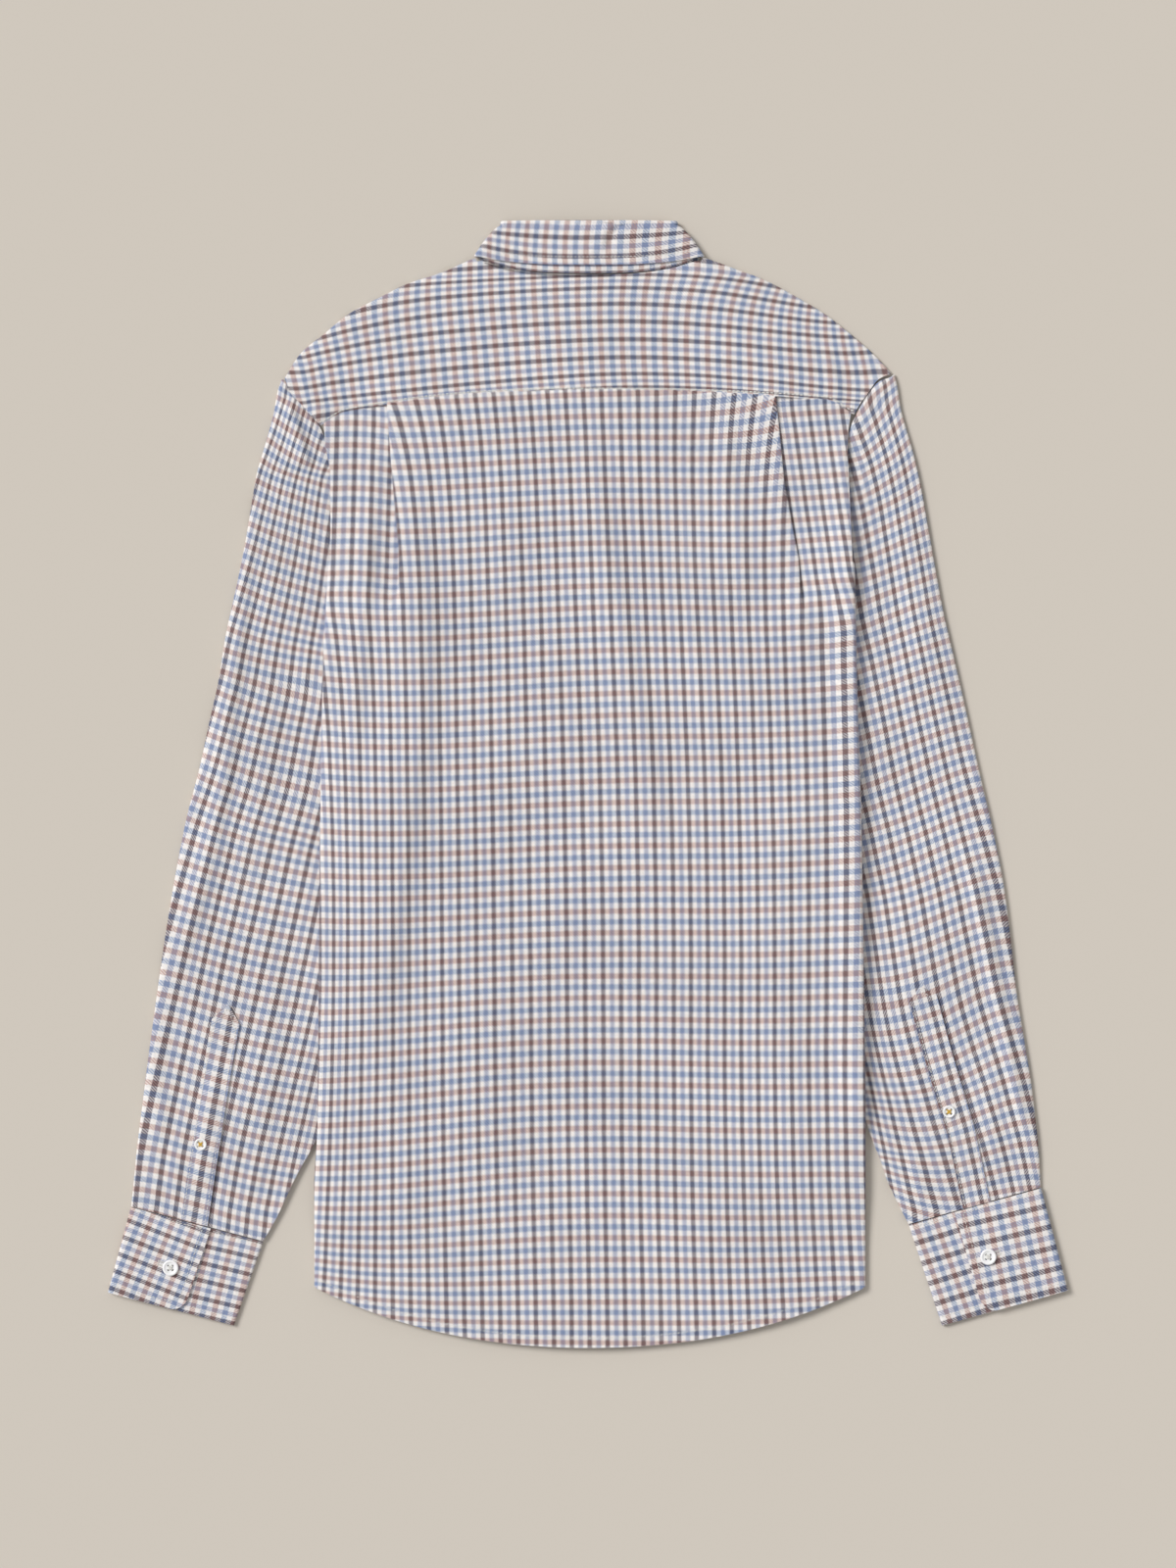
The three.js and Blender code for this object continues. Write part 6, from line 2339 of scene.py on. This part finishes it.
@dataclass
class Studio:
    """The camera straight above, the soft lights and the pale ground."""

    lens: float = 100.0
    sensor: float = 36.0
    far: float = 20.0
    height: float = 3.111
    ground: tuple[int, int, int] = (207, 199, 188)
    key_energy: float = 2.40
    key_spread: float = 24.0
    fill: float = 0.50
    ground_half: float = 4.0
    ground_drop: float = 0.0002

    def set_camera(self) -> None:
        """Sets the camera straight above the shirt."""
        data = bpy.data.cameras.new("camera")
        data.lens = self.lens
        data.sensor_width = self.sensor
        data.sensor_fit = "VERTICAL"
        data.sensor_height = self.sensor
        data.clip_end = self.far
        camera = link("camera", data)
        camera.location = (0.0, 0.0, self.height)
        bpy.context.scene.camera = camera

    def light(self) -> None:
        """Sets the soft key light at the upper left and an even fill."""
        data = bpy.data.lights.new("key", "SUN")
        data.energy = self.key_energy
        data.angle = math.radians(self.key_spread)
        key = link("key", data)
        key.location = (-1.9, 1.1, 1.9)
        key.rotation_euler = (-key.location).to_track_quat("-Z", "Y").to_euler()
        world = bpy.data.worlds.new("studio")
        world.use_nodes = True
        back = world.node_tree.nodes["Background"]
        back.inputs[0].default_value = (1.0, 1.0, 1.0, 1.0)
        back.inputs[1].default_value = self.fill
        bpy.context.scene.world = world
        bpy.context.scene.view_settings.view_transform = "Standard"

    def lay_ground(self) -> bpy.types.Object:
        """Lays the pale ground under the shirt.

        Returns:
            The ground.
        """
        edge, low = self.ground_half, -self.ground_drop
        mesh = bpy.data.meshes.new("Ground")
        corners = [(x * edge, y * edge, low) for x, y in ((-1, -1), (1, -1), (1, 1), (-1, 1))]
        mesh.from_pydata(corners, [], [(0, 1, 2, 3)])
        ground = link("Ground", mesh)
        material, g, shader = start_material("paper")
        place = g.add("ShaderNodeTexCoord")
        grain = g.noise(place.outputs["Object"], 900.0, 3.0).outputs[0]
        base = linear(*self.ground)
        pale = tuple(part * 1.012 for part in base[:3]) + (1.0,)
        g.fill(shader, {"Base Color": g.blend(grain, base, pale), "Roughness": 0.95,
                        "Specular IOR Level": 0.1})
        ground.data.materials.append(material)
        return ground


FINE_ROW = StitchRow(pitch=2.8, length=2.0)
FLANNEL = Flannel("flannel")
FLANNELS = {
    "front_left_cloth": Flannel("flannel_front_left", 3.0, 0.0),
    "front_right_cloth": Flannel("flannel_front_right", 9.0, 0.0),
    "placket_cloth": Flannel("flannel_placket", 1.5, 0.0),
    "button_band_cloth": Flannel("flannel_button_band", 5.0, 0.0),
}


class Shirt:
    """The whole shirt: cloth pieces, thread and buttons, each in its finish."""

    def __init__(self) -> None:
        """Makes the shared effects and the thread finishes."""
        self.weave = WovenCheck(Threads())
        self.nap = Nap()
        self.flannel = FLANNEL.make(self.weave, self.nap)
        self.pearl = Pearl().make()
        self.white = Cotton("thread_white", (232, 230, 224)).make()
        self.yellow = Cotton("thread_yellow", (216, 172, 44)).make()
        self.cloths: dict[str, bpy.types.Object] = {}

    def panels(self) -> list[Panel]:
        """Lays out every cloth piece.

        Returns:
            The panels in order.
        """
        made = [BackPanel().panel(), Yoke().panel()]
        for side in Side:
            made.append(FrontPanel(side).panel())
            made.append(Sleeve(side).panel())
            made.append(Gauntlet(side).panel())
            made.append(Cuff(side).panel())
        made.append(FrontBand("placket", 0, -16.0, 16.0).panel())
        made.append(FrontBand("button_band", 1, -13.4, 16.0).panel())
        made += [Collar().stand(), Collar().leaf()]
        return made

    def lay_cloth(self) -> None:
        for panel in self.panels():
            item = panel.build()
            own = FLANNELS.get(panel.name)
            item.data.materials.append(own.make(self.weave, self.nap) if own else self.flannel)
            self.cloths[panel.name] = item
            LOG.info("%s: %d faces", panel.name, len(item.data.polygons))

    def sew_buttons(self) -> None:
        """Makes the buttons and the thread that holds them."""
        nodes = [("cuff_button_left", True, self.white), ("cuff_button_right", True, self.white),
                 ("gauntlet_button_left", True, self.yellow), ("gauntlet_button_right", True, self.yellow)]
        nodes += [(f"front_button_{k}", False, self.white) for k in range(1, 8)]
        for node, faces_up, thread in nodes:
            button = Button(node, faces_up)
            body = button.body()
            body.data.materials.clear()
            body.data.materials.append(self.pearl)
            strands = button.thread()
            strands.data.materials.append(thread)
            LOG.info("%s: button and thread", node)

    def dress_seam(self, name: str, row: StitchRow, cloths: tuple[str, ...], lines: list[Array],
                   yellow: bool = False) -> None:
        """Sews one seam and gives its thread a finish.

        Args:
            name: Name of the thread's piece.
            row: How the stitches are.
            cloths: Cloth pieces that they go through.
            lines: Their lines.
            yellow: Whether the thread is the yellow one.
        """
        item = self.stitching.sew(name, row, cloths, lines)
        item.data.materials.append(self.yellow if yellow else self.white)

    def sew_seams(self) -> None:
        """Sews the rows of stitches that show on the outside."""
        self.stitching = Stitching(self.cloths)
        xs = np.linspace(-192.0, 190.0, 120)
        top = StitchRow(length=2.5, radius=0.44)
        below = StitchRow(from_above=False)
        self.dress_seam("stitch_yoke", top, ("yoke_cloth",), [np.stack([xs, BODY.seam(xs) + 1.6], -1)])
        hem = np.linspace(-193.0, 193.0, 120)
        hem_row = StitchRow(length=2.4, radius=0.3, slant=16.0)
        self.dress_seam("stitch_hem_back", hem_row, ("back_cloth",),
                        [np.stack([hem, BODY.hem(hem) + 7.0], -1)])
        under = [np.stack([x, BODY.hem(x) + 7.0], -1) for x in (np.linspace(-117.0, -17.0, 40),
                                                                np.linspace(17.0, 117.0, 40))]
        self.dress_seam("stitch_hem_front", below, ("front_left_cloth", "front_right_cloth"), under)
        column_y = np.linspace(286.0, SIZES.hem_side + 8.0, 160)
        edges = [np.stack([np.full(160, x), column_y], -1) for x in (-13.0, 13.0)]
        self.dress_seam("stitch_placket", below, ("placket_cloth",), edges)
        for side in Side:
            self.sew_cuff(side)
            self.sew_gauntlet(side)
        self.sew_collar()
        self.sew_buttonholes()

    def sew_cuff(self, side: Side) -> None:
        """Sews the rows round one cuff.

        Args:
            side: The cuff's side.
        """
        cuff = Cuff(side)
        low = 1.0 - 5.5 / cuff.height
        lines = []
        for v, first in ((1.8 / cuff.height, 1.8), (low, 5.5)):
            out, e, width = cuff.line(v)
            reach = mix(cuff.lap[0], cuff.lap[1], v) * width - 5.5
            lines.append(out + e * np.linspace(2.0, reach - (5.0 if first > 2.0 else 0.0), 40)[:, None])
            lines.append(out + e * np.linspace(reach + 7.0, width - 1.0, 30)[:, None])
        turn = []
        for v in np.linspace(1.8 / cuff.height, low, 20):
            out, e, width = cuff.line(v)
            rest = max(0.0, 8.0 - (low - v) * cuff.height)
            rounding = 8.0 - math.sqrt(max(0.0, 64.0 - rest ** 2))
            reach = mix(cuff.lap[0], cuff.lap[1], v) * width - 5.5 - rounding
            turn.append(out + e * reach)
        lines.append(np.array(turn))
        node = side.piece("cuff")
        self.dress_seam(f"stitch_{node}", FINE_ROW, (f"{node}_cloth",), lines)

    def sew_gauntlet(self, side: Side) -> None:
        """Sews the rows round one gauntlet.

        Args:
            side: The sleeve's side.
        """
        gauntlet = Gauntlet(side)
        node = side.piece("gauntlet")
        d, across = gauntlet.ways()
        near = gauntlet.slit[2:] + across[2:] * 1.8
        far = gauntlet.slit[2:] + across[2:] * (gauntlet.width - 1.8)
        tip = gauntlet.slit[0] + across[0] * gauntlet.width / 2.0 - d[0] * (gauntlet.tip - 2.5)
        bar = np.linspace(0.1, 0.9, 10)[:, None]
        box = gauntlet.slit[6] + across[6] * gauntlet.width * bar
        lines = [np.concatenate([near[::-1], tip[None], far]), box]
        self.dress_seam(f"stitch_{node}", FINE_ROW, (f"{node}_cloth",), lines)

    def sew_collar(self) -> None:
        """Sews the row along the collar leaf's free edge and at the stand's foot."""
        xs = np.linspace(-72.0, 74.0, 60)
        share = np.minimum(1.0, np.abs(xs - NECK_SHIFT) / LEAF_HALF) ** 3
        edge = mix(LEAF_MID_Y, LEAF_SIDE_Y, share)
        self.dress_seam("stitch_collar", FINE_ROW, ("collar_leaf_cloth",),
                        [np.stack([xs, edge + 5.5], -1)])
        self.dress_seam("stitch_stand", FINE_ROW, ("collar_stand_cloth",),
                        [np.stack([xs * 0.9, mix(SIZES.neck_mid_y, SIZES.neck_side_y,
                                                 np.abs(xs / LEAF_HALF) ** 3) + 1.8], -1)])

    def sew_buttonholes(self) -> None:
        """Works the buttonholes of both cuffs and of the placket."""
        bars = StitchRow(pitch=0.55, length=1.9, radius=0.24, slant=90.0, rings=3, sides=5)
        holes = {"cuff_left_cloth": ((-307.0, -341.2), (-294.0, -344.6)),
                 "cuff_right_cloth": ((294.5, -333.6), (281.8, -337.2))}
        for cloth, (start, end) in holes.items():
            self.buttonhole(f"buttonhole_{cloth[:-6]}", bars, cloth, np.array(start), np.array(end))
        worked = StitchRow(pitch=0.55, length=1.9, radius=0.24, slant=90.0, rings=3, sides=5,
                           from_above=False)
        for k, y in enumerate(FRONT_BUTTONS):
            self.buttonhole(f"buttonhole_front_{k + 1}", worked, "placket_cloth",
                            np.array([0.0, y + 8.0]), np.array([0.0, y - 8.0]))

    def buttonhole(self, name: str, row: StitchRow, cloth: str, start: Array, end: Array) -> None:
        """Works one buttonhole: two close rows of short bars with the slit between them.

        Args:
            name: Name of the thread's piece.
            row: How the bars are.
            cloth: Cloth piece that it is in.
            start: One end of the slit.
            end: The other end.
        """
        d = (end - start) / np.linalg.norm(end - start)
        side = np.array([-d[1], d[0]])
        lines = [np.stack([start + side * s, end + side * s]) for s in (-1.15, 1.15)]
        self.dress_seam(name, row, (cloth,), lines)


def main() -> None:
    """Builds the studio and the shirt in order."""
    logging.basicConfig(level=logging.INFO, format="%(message)s")
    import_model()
    studio = Studio()
    studio.set_camera()
    studio.light()
    studio.lay_ground()
    shirt = Shirt()
    shirt.lay_cloth()
    shirt.sew_buttons()
    shirt.sew_seams()
    LOG.info("the shirt is dressed")


if __name__ == "__main__":
    main()
